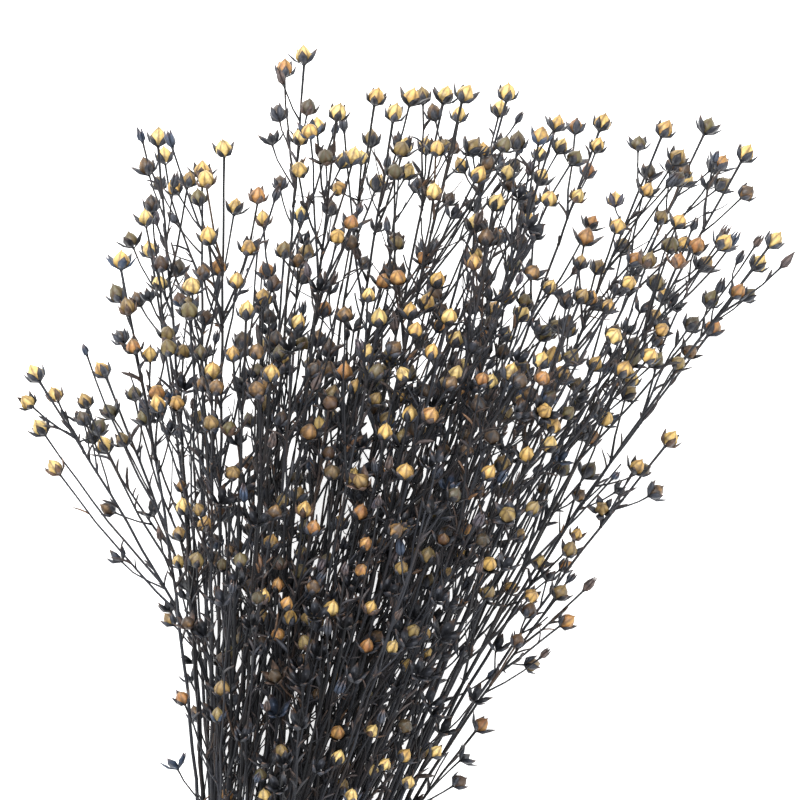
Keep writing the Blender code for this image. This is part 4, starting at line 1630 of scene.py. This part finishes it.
@dataclass(frozen=True)
class TwineFinish(Finish):
    """Jute twine: matt brown plies with lighter fibres that run round them."""

    name: str = "jute twine"
    light: str = "#b08a5a"
    dark: str = "#6b4c2c"
    fibre_mm: float = 0.3
    fibre_relief_mm: float = 0.15
    patch_mm: float = 5.0

    def shading(self, add: AddNode) -> dict:
        """Builds the nodes of the finish.

        Args:
            add: adds a node to the material.

        Returns:
            What the shader's sockets are given.
        """
        place = add("TexCoord", "Object", {})
        fibres = add("TexNoise", 0, {"Vector": place, "Scale": 1 / (self.fibre_mm * MM),
                                     "Detail": 3.0})
        patches = add("TexNoise", 0, {"Vector": place, "Scale": 1 / (self.patch_mm * MM),
                                      "Detail": 2.0})
        crease = add("Attribute", "Fac", {}, attribute_name="crease")
        mixed = add("Math", 0, {0: patches, 1: 0.35}, operation="MULTIPLY")
        drawn = add("Math", 0, {0: fibres, 1: 0.8, 2: mixed}, operation="MULTIPLY_ADD")
        shade = add("ValToRGB", 0, {"Fac": drawn}, ((0.38, self.dark), (0.75, self.light)))
        # painted shade: where a crease is marked the twine is darkened to half, as if shaded in a
        # groove; its tube marks none, so the colour is left as it is
        groove_shade = add("MapRange", 0, {"Value": crease, "To Min": 1.0, "To Max": 0.5})
        shaded = add("Mix", 2, {0: 1.0, 6: shade, 7: groove_shade}, **SHADE)
        bump = add("Bump", 0, {"Height": fibres, "Strength": 0.8,
                               "Distance": self.fibre_relief_mm * MM})
        return {"Base Color": shaded, "Normal": bump, "Roughness": 0.92,
                "Specular IOR Level": 0.2, "Sheen Weight": 0.25, "Sheen Roughness": 0.6}


@dataclass(frozen=True)
class FloorFinish(Finish):
    """White sweep, lit so evenly that nearly no shadow shows on it."""

    name: str = "white sweep"
    white: str = "#f7f7f7"
    glow_colour: str = "#ffffff"
    glow: float = 0.75

    def shading(self, add: AddNode) -> dict:
        """What the shader's sockets are given."""
        return {"Base Color": hex_colour(self.white), "Roughness": 0.9,
                "Specular IOR Level": 0.1, "Emission Color": hex_colour(self.glow_colour),
                "Emission Strength": self.glow}


@dataclass
class Form:
    """A small mesh that is used many times, in its own millimetres.

    The rise and crease of each vertex go with it: how high it is from 0 to 1, and whether it
    lies in a crease or on a rib.
    """

    data: bpy.types.Mesh
    spots: np.ndarray
    rise: np.ndarray
    crease: np.ndarray

    @classmethod
    def from_loft(cls, name: str, mesh: bmesh.types.BMesh, sides: int) -> "Form":
        """Closes a lofted bmesh, takes the form from it and frees it.

        Args:
            name: the name of the form's mesh.
            mesh: the bmesh, with float layers named rise and crease.
            sides: the number of vertices in its rings.

        Returns:
            The form.
        """
        bmesh.ops.remove_doubles(mesh, verts=mesh.verts[:], dist=1e-4)
        bmesh.ops.holes_fill(mesh, edges=mesh.edges[:], sides=sides)
        bmesh.ops.recalc_face_normals(mesh, faces=mesh.faces[:])
        spots = np.array([vertex.co[:] for vertex in mesh.verts])
        marks = []
        for key in ("rise", "crease"):
            layer = mesh.verts.layers.float[key]
            marks.append(np.array([vertex[layer] for vertex in mesh.verts]))
            mesh.verts.layers.float.remove(layer)
        data = bpy.data.meshes.new(name)
        mesh.to_mesh(data)
        mesh.free()
        return cls(data, spots, *marks)


def blank_form() -> tuple[bmesh.types.BMesh, object, object]:
    """Starts a bmesh for a form.

    Returns:
        The bmesh, its layer for the rise and its layer for the crease.
    """
    mesh = bmesh.new()
    layers = mesh.verts.layers.float
    layers.new("rise")
    layers.new("crease")
    return mesh, layers["rise"], layers["crease"]


def loft(mesh: bmesh.types.BMesh, sides: int, rings: int) -> list[list[bmesh.types.BMVert]]:
    """Extrudes rings from a circle of radius 1, with a face over the first ring.

    Args:
        mesh: the bmesh that takes them.
        sides: the number of vertices in a ring.
        rings: the number of rings.

    Returns:
        The vertices, one list a ring, all at the height of the first.
    """
    first = bmesh.ops.create_circle(mesh, cap_ends=True, radius=1.0, segments=sides)["verts"]
    found = [first]
    edges = [edge for edge in first[0].link_faces[0].edges]
    for _ in range(rings - 1):
        made = bmesh.ops.extrude_edge_only(mesh, edges=edges)["geom"]
        found.append([part for part in made if isinstance(part, bmesh.types.BMVert)])
        edges = [part for part in made if isinstance(part, bmesh.types.BMEdge)]
    return found


@dataclass(frozen=True)
class LoftForm:
    """A closed form round the Z axis: its rings as height, half width and half depth."""

    name: str
    sides: int
    rings: tuple[tuple[float, float, float], ...]

    def build(self) -> Form:
        """Lofts the rings.

        Returns:
            The form.
        """
        mesh, rise, _ = blank_form()
        for verts, (height, wide, deep) in zip(loft(mesh, self.sides, len(self.rings)),
                                               self.rings):
            for vertex in verts:
                vertex[rise] = height
                vertex.co = (vertex.co.x * wide, vertex.co.y * deep, height)
        return Form.from_loft(self.name, mesh, self.sides)


@dataclass(frozen=True)
class CapsuleForm:
    """A seed capsule: a pleated globe with a short beak, its five seams pressed in.

    Each ring of the outline is its radius and its height, as shares, from the base up.
    """

    name: str
    radius: float = 3.6
    height: float = 8.1
    pleat: float = 0.07
    pleat_base: float = 0.6
    beak: float = 0.15
    segments: int = 10
    outline: tuple[tuple[float, float], ...] = ((0.62, 0.08), (0.97, 0.27), (0.98, 0.48),
                                                (0.66, 0.72))

    def build(self) -> Form:
        """Lofts the rings and presses the creases in.

        Returns:
            The form.
        """
        mesh, rise, crease = blank_form()
        outline = self.outline + ((self.beak, 0.88), (0.0, 1.0))
        for verts, (share, height) in zip(loft(mesh, self.segments, len(outline)), outline):
            for vertex in verts:
                turn = math.atan2(vertex.co.x, vertex.co.y) / (2 * math.pi)
                is_seam = round(turn * self.segments) % 2 == 0
                press = 1.0 - self.pleat * (self.pleat_base + height) * is_seam
                vertex[rise] = height
                vertex[crease] = float(is_seam)
                across = self.radius * share * press
                vertex.co = (vertex.co.x * across, vertex.co.y * across, height * self.height)
        return Form.from_loft(self.name, mesh, self.segments)


@dataclass(frozen=True)
class CalyxForm:
    """Five keeled, pointed sepals round a capsule, or closed over a bud.

    Each row is one ring of a sepal: its radius, its height, its half width and its depth.
    """

    name: str
    rows: tuple[tuple[float, float, float, float], ...] = (
        (0.5, -0.45, 0.7, 0.35), (3.35, 1.25, 2.1, 0.5), (3.95, 3.2, 1.75, 0.4),
        (4.5, 5.9, 0.0, 0.0))
    flare: float = 0.5
    uneven: float = 0.5
    turn_spread: float = 0.12
    tall: Range = (0.86, 1.12)
    sepals: int = 5
    seed: int = 1

    def build(self) -> Form:
        """Lofts each sepal and wraps it round the axis.

        Returns:
            The form.
        """
        rng = random.Random(self.seed)
        mesh, rise, crease = blank_form()
        last = len(self.rows) - 1
        for number in range(self.sepals):
            sway = rng.uniform(-self.turn_spread, self.turn_spread)
            turn = 2 * math.pi * (number + sway) / self.sepals
            flare = self.flare * rng.uniform(1.0 - self.uneven, 1.0 + self.uneven)
            tall = rng.uniform(*self.tall)
            bend = rng.uniform(-self.turn_spread, self.turn_spread)
            for step, (verts, row) in enumerate(zip(loft(mesh, 3, last + 1), self.rows)):
                radius, height, wide, deep = row
                v = step / last
                for vertex in verts:
                    reach = radius + flare * v * v + vertex.co.y * deep
                    angle = turn + bend * v + vertex.co.x * wide / max(radius, 1.0)
                    vertex[rise] = v
                    # the outward keel is marked as the crease; the leaf finish paints a highlight
                    # along it
                    vertex[crease] = float(vertex.co.y > 0.9)
                    vertex.co = (reach * math.cos(angle), reach * math.sin(angle),
                                 height * (1.0 + (tall - 1.0) * v))
        return Form.from_loft(self.name, mesh, 3)


class FormSet:
    """The forms that every spray uses."""

    def __init__(self) -> None:
        """Builds the heads and the blade; tubes follow as they are asked for."""
        self.tubes: dict[tuple[int, int], Form] = {}
        self.blade = LoftForm("blade", 4, ((0.0, 0.16, 0.1), (0.22, 0.42, 0.14),
                                           (0.5, 0.5, 0.14), (0.78, 0.32, 0.1),
                                           (1.0, 0.0, 0.0))).build()
        self.capsules = [form.build() for form in (
            CapsuleForm("capsule_plump"),
            CapsuleForm("capsule_pleated", radius=3.5, pleat=0.12),
            CapsuleForm("capsule_tall", radius=3.4, height=8.6, pleat=0.09),
            CapsuleForm("capsule_low", radius=3.7, height=7.6),
            CapsuleForm("capsule_blunt", radius=3.55, height=7.8, beak=0.3),
            CapsuleForm("capsule_shrunk", radius=3.2, height=7.6, pleat=0.17))]
        self.calyces = [CalyxForm(f"calyx_{seed}", flare=flare, seed=seed).build()
                        for seed, flare in enumerate((0.0, 0.3, 0.6, 1.0, 1.8, 2.6), 1)]
        bud = ((0.3, -0.35, 0.5, 0.3), (1.65, 1.7, 1.3, 0.45), (1.5, 4.4, 1.1, 0.4),
               (0.2, 8.8, 0.0, 0.0))
        self.buds = [CalyxForm(f"bud_{seed}", bud, flare, uneven=0.9, seed=seed).build()
                     for seed, flare in enumerate((0.1, 0.6, 1.3), 11)]

    def tube(self, sides: int, rings: int) -> Form:
        """Finds or builds a tube of radius 1.

        Args:
            sides: how many sides it has.
            rings: how many rings it has.

        Returns:
            The tube.
        """
        if (sides, rings) not in self.tubes:
            levels = tuple((step / (rings - 1), 1.0, 1.0) for step in range(rings))
            self.tubes[sides, rings] = LoftForm(f"tube_{sides}_{rings}", sides, levels).build()
        return self.tubes[sides, rings]


def placed(name: str, data: bpy.types.ID) -> bpy.types.Object:
    """Links a new object to the scene.

    Args:
        name: its name.
        data: its mesh, light or camera.

    Returns:
        The object, at the origin.
    """
    made = bpy.data.objects.new(name, data)
    bpy.context.scene.collection.objects.link(made)
    return made


class Workpiece:
    """One piece of the scene, gathered from bent and placed forms."""

    def __init__(self, name: str) -> None:
        """Starts an empty piece.

        Args:
            name: the piece's name.
        """
        self.name = name
        self.mesh = bmesh.new()
        self.tints: dict[str, list[np.ndarray]] = {key: [] for key in TINTS}

    def add(self, form: Form, spots: np.ndarray, tone: float, hue: float,
            slot: int = 0) -> None:
        """Adds one copy of a form.

        Args:
            form: the form.
            spots: the place of each of its vertices, in millimetres.
            tone: the copy's tone.
            hue: the copy's hue.
            slot: its material slot.
        """
        first = len(self.mesh.verts)
        first_face = len(self.mesh.faces)
        self.mesh.from_mesh(form.data)
        self.mesh.verts.ensure_lookup_table()
        for vertex, spot in zip(self.mesh.verts[first:], (spots * MM).tolist()):
            vertex.co = spot
        if slot:
            self.mesh.faces.ensure_lookup_table()
            for face in self.mesh.faces[first_face:]:
                face.material_index = slot
        count = len(form.spots)
        marks = (np.full(count, tone), form.rise, form.crease, np.full(count, hue))
        for key, values in zip(TINTS, marks):
            self.tints[key].append(values)

    def finish(self, materials: Sequence[bpy.types.Material]) -> bpy.types.Object:
        """Writes the piece to the scene.

        Args:
            materials: one a slot.

        Returns:
            The piece's object, at the origin.
        """
        data = bpy.data.meshes.new(self.name)
        self.mesh.normal_update()
        self.mesh.to_mesh(data)
        self.mesh.free()
        for key in TINTS:
            layer = data.attributes.new(key, "FLOAT", "POINT")
            layer.data.foreach_set("value", np.concatenate(self.tints[key]))
        data.polygons.foreach_set("use_smooth", np.ones(len(data.polygons), bool))
        for material in materials:
            data.materials.append(material)
        made = placed(self.name, data)
        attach(made, "root")
        LOG.info("%s: %d faces", self.name, len(data.polygons))
        return made


HEAD_SIDE = np.array((0.31, 0.2, 0.93))
LOWEST_HUSK = 0.02


def along_path(points: np.ndarray, up: np.ndarray) -> tuple[np.ndarray, np.ndarray]:
    """Carries a frame along a path without twist.

    Args:
        points: the points of the path, one a row.
        up: the direction that the first frame should face.

    Returns:
        The sideways and the upward directions, one a row.
    """
    steps = np.diff(points, axis=0)
    steps = steps / np.linalg.norm(steps, axis=1)[:, None]
    along = np.concatenate([steps[:1], steps[:-1] + steps[1:], steps[-1:]])
    sides = []
    ups = []
    for direction in along:
        direction = unit(direction)
        up = square_to(up, direction)
        ups.append(up)
        sides.append(np.cross(up, direction))
    return np.array(sides), np.array(ups)


def bent(form: Form, points: np.ndarray, up: np.ndarray, across: np.ndarray,
         thick: np.ndarray, lowest: float = 0.05) -> np.ndarray:
    """Bends a form that stands from 0 to 1 in Z along a path.

    Args:
        form: the form.
        points: the points of the path, one a row.
        up: the direction that its first frame faces.
        across: the width of the form at each point.
        thick: its thickness at each point.
        lowest: the height that nothing of it goes below.

    Returns:
        The place of each of the form's vertices.
    """
    sides, ups = along_path(points, up)
    at = np.linspace(0.0, 1.0, len(points))
    x, y, z = form.spots.T
    wide = np.interp(z, at, across) * x
    deep = np.interp(z, at, thick) * y
    found = np.empty_like(form.spots)
    for axis in range(3):
        found[:, axis] = (np.interp(z, at, points[:, axis])
                          + wide * np.interp(z, at, sides[:, axis])
                          + deep * np.interp(z, at, ups[:, axis]))
    found[:, 2] = np.maximum(found[:, 2], lowest)
    return found


def standing(form: Form, base: np.ndarray, axis: np.ndarray, turn: float,
             size: float) -> np.ndarray:
    """Stands a form on a stalk.

    Args:
        form: the form, with its own Z up.
        base: the end of the stalk.
        axis: the direction that the form's Z takes.
        turn: its turn about that.
        size: its scale.

    Returns:
        The place of each of the form's vertices, none below the floor.
    """
    side = square_to(HEAD_SIDE, axis)
    over = np.cross(axis, side)
    x, y, z = (form.spots * size).T
    right = side * math.cos(turn) + over * math.sin(turn)
    front = over * math.cos(turn) - side * math.sin(turn)
    spots = base + x[:, None] * right + y[:, None] * front + z[:, None] * axis
    spots[:, 2] = np.maximum(spots[:, 2], LOWEST_HUSK)
    return spots


SIDES = {Kind.STEM: 7, Kind.BRANCH: 5, Kind.SIDE_STEM: 5, Kind.STALK: 4, Kind.TWIG: 4}
STEM_RADII = {Kind.STEM: (1.15, 1.05, 0.86, 0.64, 0.5), Kind.BRANCH: (0.55, 0.38),
              Kind.SIDE_STEM: (0.6, 0.48, 0.36), Kind.STALK: (0.38, 0.32),
              Kind.TWIG: (0.32, 0.16)}


@dataclass(frozen=True)
class StemSizes:
    """How far apart a fine stem's rings stand, and how it swells at its ends, in millimetres."""

    spacing: float = 12.0
    fork_ring: float = 1.6
    head_ring: float = 1.1
    fork_swell: float = 0.45
    fork_reach: float = 1.6
    head_swell: float = 0.42
    head_reach: float = 0.7

    def shares(self, length: float) -> np.ndarray:
        """Where the rings stand, as shares of the length: evenly, and one near each end."""
        even = np.linspace(0.0, 1.0, max(3, round(length / self.spacing)) + 1)
        return np.sort(np.append(even, (self.fork_ring / length, 1.0 - self.head_ring / length)))

    def radii(self, rod: Rod, shares: np.ndarray, length: float) -> np.ndarray:
        """Finds the radius at each ring.

        Args:
            rod: the stem, branch, stalk or twig.
            shares: where its rings stand.
            length: its length.

        Returns:
            The radii, swollen at its fork and its head.
        """
        ends = STEM_RADII[rod.kind]
        found = np.interp(shares, np.linspace(0.0, 1.0, len(ends)), ends)
        if rod.fork is not None:
            found = found * (1.0 + self.fork_swell * np.exp(-shares * length / self.fork_reach))
        if rod.ending in HEAD_ROOM:
            found = found + self.head_swell * np.exp(-(1.0 - shares) * length / self.head_reach)
        return found


@dataclass(frozen=True)
class LeafSizes:
    """The shape of a fine leaf, in millimetres and in shares of its length."""

    width: Range = (1.3, 2.6)
    least_width: float = 0.45
    width_gain: float = 0.05
    thickness: float = 2.0
    curl: Range = (-0.25, 0.35)
    root_rise: float = 0.35
    root_out: float = 0.05
    tip_reach: float = 0.75
    tip_out: float = 0.3
    tip_drop: float = 0.4
    twist: float = 0.8
    rings: int = 6
    lowest: float = 0.5


@dataclass(frozen=True)
class HeadSizes:
    """How the heads stand: their lean to the light, and the size of buds and of low heads."""

    lean: float = 0.3
    extra_lean: float = 1.1
    lean_from_z: float = 12.0
    bud: Range = (0.75, 1.0)
    low: float = 0.94
    low_y: float = 290.0


@dataclass(frozen=True)
class Tints:
    """The ranges of tone and hue of a spray's parts, and how often a part is an odd one."""

    spray: Range = (0.1, 0.8)
    stem: Range = (-0.25, 0.3)
    faded: Range = (0.4, 0.9)
    faded_share: float = 0.02
    faded_twigs: float = 0.06
    leaf: Range = (0.0, 0.7)
    leaf_hue: Range = (0.0, 0.25)
    tan: Range = (0.7, 1.0)
    tan_share: float = 0.05
    sepal: Range = (0.0, 0.7)
    blue: Range = (0.94, 1.0)
    blue_share: float = 0.04
    dry: Range = (0.2, 0.6)
    dry_share: float = 0.08
    bud: Range = (0.5, 1.0)
    bud_hues: tuple[float, ...] = (0.0, 0.0, 0.3)


@dataclass
class SprayDress:
    """The fine pieces of one spray: its stems and leaves, its capsules and its sepals."""

    spray: Spray
    forms: FormSet
    materials: dict[str, bpy.types.Material]
    stem_sizes: StemSizes = StemSizes()
    leaf_sizes: LeafSizes = LeafSizes()
    head_sizes: HeadSizes = HeadSizes()
    tints: Tints = Tints()
    seed: int = 5000
    cut_end_y: float = -0.08

    def __post_init__(self) -> None:
        """Starts its three pieces and its draws."""
        number = f"{self.spray.index + 1:02d}"
        self.rng = random.Random(self.seed + self.spray.index)
        self.stalks, self.capsules, self.sepals = (
            Workpiece(f"{kind}_{number}") for kind in ("stalks", "capsules", "sepals"))
        self.tone = self.rng.uniform(*self.tints.spray)

    def drawn(self, share: float, odd: Range, usual: Range = (0.0, 0.0)) -> float:
        """A draw from the odd range this often, and else from the usual one if it has a width."""
        span = odd if self.rng.random() < share else usual
        return self.rng.uniform(*span) if span[0] < span[1] else 0.0

    def fine_rod(self, rod: Rod) -> None:
        """Adds the tube of a stem, branch, stalk or twig.

        Args:
            rod: the rod.
        """
        length = rod.length()
        shares = self.stem_sizes.shares(length)
        last = len(rod.points) - 1
        points = np.array([rod.spot(share * last) for share in shares])
        radii = self.stem_sizes.radii(rod, shares, length)
        form = self.forms.tube(SIDES[rod.kind], len(shares))
        tone = min(1.0, max(0.0, self.tone + self.rng.uniform(*self.tints.stem)))
        is_twig = rod.kind is Kind.TWIG
        faded = self.drawn(self.tints.faded_twigs if is_twig else self.tints.faded_share,
                           self.tints.faded)
        self.stalks.add(form, bent(form, points, rod.up, radii, radii), tone, faded)

    def fine_leaf(self, rod: Rod) -> None:
        """Adds a curved leaf blade.

        Args:
            rod: the leaf.
        """
        sizes = self.leaf_sizes
        base = rod.fork.parent.spot(rod.fork.place)
        reach = rod.points[1] - rod.points[0]
        length = np.linalg.norm(reach)
        curl = self.rng.uniform(*sizes.curl) * length
        out = reach - rod.axis * (reach @ rod.axis)
        out = out / max(np.linalg.norm(out), 1e-6)
        frame = (base,
                 base + rod.axis * length * sizes.root_rise + out * length * sizes.root_out,
                 base + reach * sizes.tip_reach + out * curl * sizes.tip_out,
                 base + reach - rod.axis * curl * sizes.tip_drop)
        points = np.array([bezier(frame, t) for t in np.linspace(0.0, 1.0, sizes.rings)])
        points[:, 2] = np.maximum(points[:, 2], sizes.lowest)
        wide = self.rng.uniform(*sizes.width)
        wide *= min(1.0, sizes.least_width + sizes.width_gain * length)
        twist = np.array([self.rng.uniform(-sizes.twist, sizes.twist) for _ in range(3)])
        across = np.full(sizes.rings, wide)
        spots = bent(self.forms.blade, points, square_to(out + twist, unit(reach)), across,
                     across * sizes.thickness)
        hue = self.drawn(self.tints.tan_share, self.tints.tan, self.tints.leaf_hue)
        self.stalks.add(self.forms.blade, spots, self.rng.uniform(*self.tints.leaf), hue, 1)

    def head(self, rod: Rod) -> None:
        """Adds a capsule in its sepals, an empty cup of sepals or a closed bud.

        Args:
            rod: the rod that carries it.
        """
        rng, sizes, tints = self.rng, self.head_sizes, self.tints
        base = rod.spot(len(rod.points) - 1)
        turn = rng.uniform(*FULL_TURN)
        slate = self.drawn(tints.blue_share, tints.blue, tints.sepal)
        lean = rng.uniform(0.0, 1.0) ** 2 * (sizes.extra_lean if rod.is_extra else sizes.lean)
        axis = unit(rod.axis + UPWARD * (lean if base[2] > sizes.lean_from_z else 0.0))
        if rod.ending is Ending.BUD:
            form = rng.choice(self.forms.buds)
            spots = standing(form, base, axis, turn, rod.size * rng.uniform(*sizes.bud))
            self.sepals.add(form, spots, rng.uniform(*tints.bud), rng.choice(tints.bud_hues))
            return
        if rod.ending is Ending.HUSK:
            form = rng.choice(self.forms.calyces[2:])
            self.sepals.add(form, standing(form, base, axis, turn, rod.size), slate, 0.0)
            return
        y = VIEW.seen(rod.middle())[1]
        # a capsule with no place is drawn dimmer the lower it lies: partly ripeness, partly
        # painted shade
        tones, hues = (rod.ripeness or drawn_ripeness_and_shade(y, rng)).value
        size = rod.size * (sizes.low if y < sizes.low_y else 1.0)
        form = rng.choice(self.forms.capsules)
        self.capsules.add(form, standing(form, base, axis, turn, size), rng.uniform(*tones),
                          rng.uniform(*hues))
        form = rng.choice(self.forms.calyces)
        turn += rng.uniform(*FULL_TURN)
        dry = self.drawn(tints.dry_share, tints.dry)
        self.sepals.add(form, standing(form, base, axis, turn, size), slate, dry)

    def build(self) -> list[bpy.types.Object]:
        """Builds and dresses the spray's pieces.

        Returns:
            The pieces.
        """
        for rod in self.spray.rods:
            if rod.kind is Kind.LEAF:
                self.fine_leaf(rod)
                continue
            self.fine_rod(rod)
            if rod.ending is not Ending.BARE:
                self.head(rod)
        stem, leaf, pith, capsule = (self.materials[key]
                                     for key in ("stem", "leaf", "pith", "capsule"))
        stalks = self.stalks.finish([stem, leaf, pith])
        self.dress_cut_end(stalks)
        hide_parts(f"spray_{self.spray.index + 1:02d}")
        capsules = self.capsules.finish([capsule])
        sepals = self.sepals.finish([leaf])
        return [stalks, capsules, sepals]

    def dress_cut_end(self, stalks: bpy.types.Object) -> None:
        """Gives the cut end of the main stem its pale pith.

        Args:
            stalks: the piece with the spray's stems.
        """
        for polygon in stalks.data.polygons:
            is_cap = len(polygon.vertices) == SIDES[Kind.STEM]
            if is_cap and polygon.center.y < self.cut_end_y:
                polygon.material_index = 2
                polygon.use_smooth = False


@dataclass
class TwineTie:
    """Twine wound round the bundle, its two ends tucked in under the turns."""

    turns: float = 5.0
    pitch: float = 2.1
    radius: float = 13.05
    ply_radius: float = 0.66
    ply_offset: float = 0.6
    ply_sides: int = 6
    plies: int = 3
    twist_mm: float = 5.2
    rings_per_twist: int = 9
    tuck: float = 0.5
    tuck_depth: float = 1.9
    tuck_power: float = 1.5
    directions: int = 73
    least_faced: float = 0.2
    end_taper: tuple[float, ...] = (0.3, 0.7, 0.9)

    def drawn_tight(self, stems: np.ndarray) -> tuple[np.ndarray, np.ndarray]:
        """How far out the twine lies when it is drawn tight round the stems.

        Args:
            stems: each stem's place from the bundle's axis, across and up.

        Returns:
            The directions round the axis, and how far out it lies in each.
        """
        turns = np.linspace(*FULL_TURN, self.directions)
        supports = (stems @ np.array((np.sin(turns), -np.cos(turns)))).max(axis=0)
        supports += FAN.stem_radius + self.ply_offset + self.ply_radius
        faced = np.maximum(np.cos(turns[:, None] - turns[None, :]), self.least_faced)
        return turns, np.minimum((supports / faced).min(axis=1), self.radius)

    def path(self, count: int, stems: np.ndarray) -> tuple[np.ndarray, np.ndarray]:
        """The twine's axis round the bundle.

        Args:
            count: how many points it gets.
            stems: each stem's place from the bundle's axis, across and up.

        Returns:
            The points, and the outward direction at each.
        """
        lean = math.atan(BUNDLE.lean)
        turns, reach = self.drawn_tight(stems * (math.cos(lean), 1.0))
        total = 2 * math.pi * self.turns
        angle = np.linspace(0.0, total, count)
        near_end = np.minimum(angle, total - angle)
        sunk = self.tuck_depth * np.maximum(0.0, 1.0 - near_end / self.tuck) ** self.tuck_power
        radius = np.interp(angle % (2 * math.pi), turns, reach) - sunk
        along = (angle / total - 0.5) * self.pitch * (self.turns - 1)
        across = np.sin(angle)
        outs = np.stack((across * math.cos(lean), -across * math.sin(lean), -np.cos(angle)), 1)
        points = outs * radius[:, None] + (0.0, 0.0, BUNDLE.axis_z)
        return points + along[:, None] * (math.sin(lean), math.cos(lean), 0.0), outs

    def build(self, forms: FormSet, material: bpy.types.Material,
              stems: np.ndarray) -> bpy.types.Object:
        """Lays the plies along the path.

        Args:
            forms: where the tube comes from.
            material: the twine's finish.
            stems: each stem's place from the bundle's axis, across and up.

        Returns:
            The piece.
        """
        twists = 2 * math.pi * self.radius * self.turns / self.twist_mm
        count = int(twists * self.rings_per_twist)
        points, outs = self.path(count, stems)
        along = np.gradient(points, axis=0)
        along /= np.linalg.norm(along, axis=1)[:, None]
        sides = np.cross(along, outs)
        piece = Workpiece("tie_twine")
        form = forms.tube(self.ply_sides, count)
        thick = np.full(count, self.ply_radius)
        thick[:3] *= self.end_taper
        thick[-3:] *= self.end_taper[::-1]
        for ply in range(self.plies):
            turn = 2 * math.pi * (np.linspace(0.0, twists, count) + ply / self.plies)
            centre = points + self.ply_offset * (outs * np.cos(turn)[:, None]
                                                 + sides * np.sin(turn)[:, None])
            piece.add(form, bent(form, centre, outs[0], thick, thick, 0.0), 0.5, 0.0)
        tie = piece.finish([material])
        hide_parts("tie")
        return tie


@dataclass
class Studio:
    """The pale floor, the soft light and the camera straight above the heads."""

    sensor: float = 36.0
    far: float = 50.0
    floor_side: float = 12.0
    key_place: tuple[float, float, float] = (-0.55, 0.9, 1.35)
    key_side: float = 1.1
    key_watts: float = 42.0
    fill_place: tuple[float, float, float] = (0.9, -0.2, 1.3)
    fill_side: float = 1.2
    fill_watts: float = 14.0
    sky_colour: str = "#ffffff"
    sky: float = 0.75

    def floor(self) -> bpy.types.Object:
        """Lays the floor, which isn't part of the object.

        Returns:
            The floor.
        """
        mesh = bmesh.new()
        bmesh.ops.create_grid(mesh, x_segments=1, y_segments=1, size=self.floor_side / 2)
        data = bpy.data.meshes.new("floor")
        mesh.to_mesh(data)
        mesh.free()
        data.materials.append(FloorFinish().material())
        floor = placed("floor", data)
        return floor

    def lamp(self, name: str, place: tuple[float, float, float], side: float,
             watts: float) -> bpy.types.Object:
        """Hangs a square soft lamp that faces the middle of the heads.

        Args:
            name: its name.
            place: where it hangs, in metres from the middle of the view.
            side: the side of its face.
            watts: its power.

        Returns:
            The lamp.
        """
        data = bpy.data.lights.new(name, "AREA")
        data.shape = "SQUARE"
        data.size = side
        data.energy = watts
        lamp = placed(name, data)
        x, y, z = place
        lamp.location = (VIEW.middle[0] * MM + x, VIEW.middle[1] * MM + y, z)
        lamp.rotation_euler = (math.atan2(math.hypot(x, y), z), 0.0, math.atan2(x, -y))
        return lamp

    def camera(self) -> bpy.types.Object:
        """Hangs the camera over the heads, level with the floor.

        Returns:
            The camera.
        """
        data = bpy.data.cameras.new("camera")
        data.sensor_width = self.sensor
        data.lens = self.sensor * VIEW.distance / VIEW.width
        data.clip_end = self.far
        camera = placed("camera", data)
        camera.location = np.array((*VIEW.middle, VIEW.plane_z + VIEW.distance)) * MM
        bpy.context.scene.camera = camera
        return camera

    def light(self) -> None:
        """Lights the scene softly from above, a little more from beyond the heads."""
        self.lamp("key", self.key_place, self.key_side, self.key_watts)
        self.lamp("fill", self.fill_place, self.fill_side, self.fill_watts)
        world = bpy.data.worlds.new("studio")
        world.use_nodes = True
        background = world.node_tree.nodes["Background"]
        sky = {"Color": hex_colour(self.sky_colour), "Strength": self.sky}
        fill_sockets(world.node_tree, background, sky)
        bpy.context.scene.world = world
        bpy.context.scene.view_settings.view_transform = "Standard"

    def build(self) -> None:
        """Sets up the floor, the light and the camera."""
        self.floor()
        self.light()
        self.camera()


class Bunch:
    """The whole tied bunch: its sprays and its tie."""

    def __init__(self) -> None:
        """Grows the sprays by the same rules as the solids, then the finer growth."""
        cells = fitted_cells([tip_of(row) for row in SPRAYS])
        room = Room()
        self.sprays = [Spray(i, row, cell, room)
                       for i, (row, cell) in enumerate(zip(SPRAYS, cells))]
        for spray in self.sprays:
            spray.bend_clear()
        for spray in self.sprays:
            spray.fill()
        share_low_heads(self.sprays)
        for spray in self.sprays:
            spray.start_growth()
        grow_seen_heads(self.sprays, claim_places(self.sprays))
        for spray in self.sprays:
            spray.enrich()

    def heads(self) -> int:
        """The number of heads: capsules, buds and empty cups."""
        return sum(rod.ending in HEAD_ROOM for spray in self.sprays for rod in spray.rods)

    def build(self) -> list[bpy.types.Object]:
        """Builds and dresses every piece.

        Returns:
            The pieces.
        """
        forms = FormSet()
        finishes = {"stem": StemFinish(), "leaf": LeafFinish(), "capsule": CapsuleFinish(),
                    "pith": PithFinish()}
        materials = {key: finish.material() for key, finish in finishes.items()}
        pieces = []
        for spray in self.sprays:
            pieces += SprayDress(spray, forms, materials).build()
        stems = np.array([spray.main.at(0.0) for spray in self.sprays]) - (0.0, BUNDLE.axis_z)
        pieces.append(TwineTie().build(forms, TwineFinish().material(), stems))
        return pieces


def main() -> None:
    """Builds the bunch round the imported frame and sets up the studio."""
    logging.basicConfig(level=logging.INFO, format="%(name)s: %(message)s")
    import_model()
    bunch = Bunch()
    LOG.info("heads: %d", bunch.heads())
    pieces = bunch.build()
    faces = sum(len(polygon.vertices) - 2 for piece in pieces for polygon in piece.data.polygons)
    LOG.info("pieces: %d, triangles: %d", len(pieces), faces)
    Studio().build()


if __name__ == "__main__":
    main()
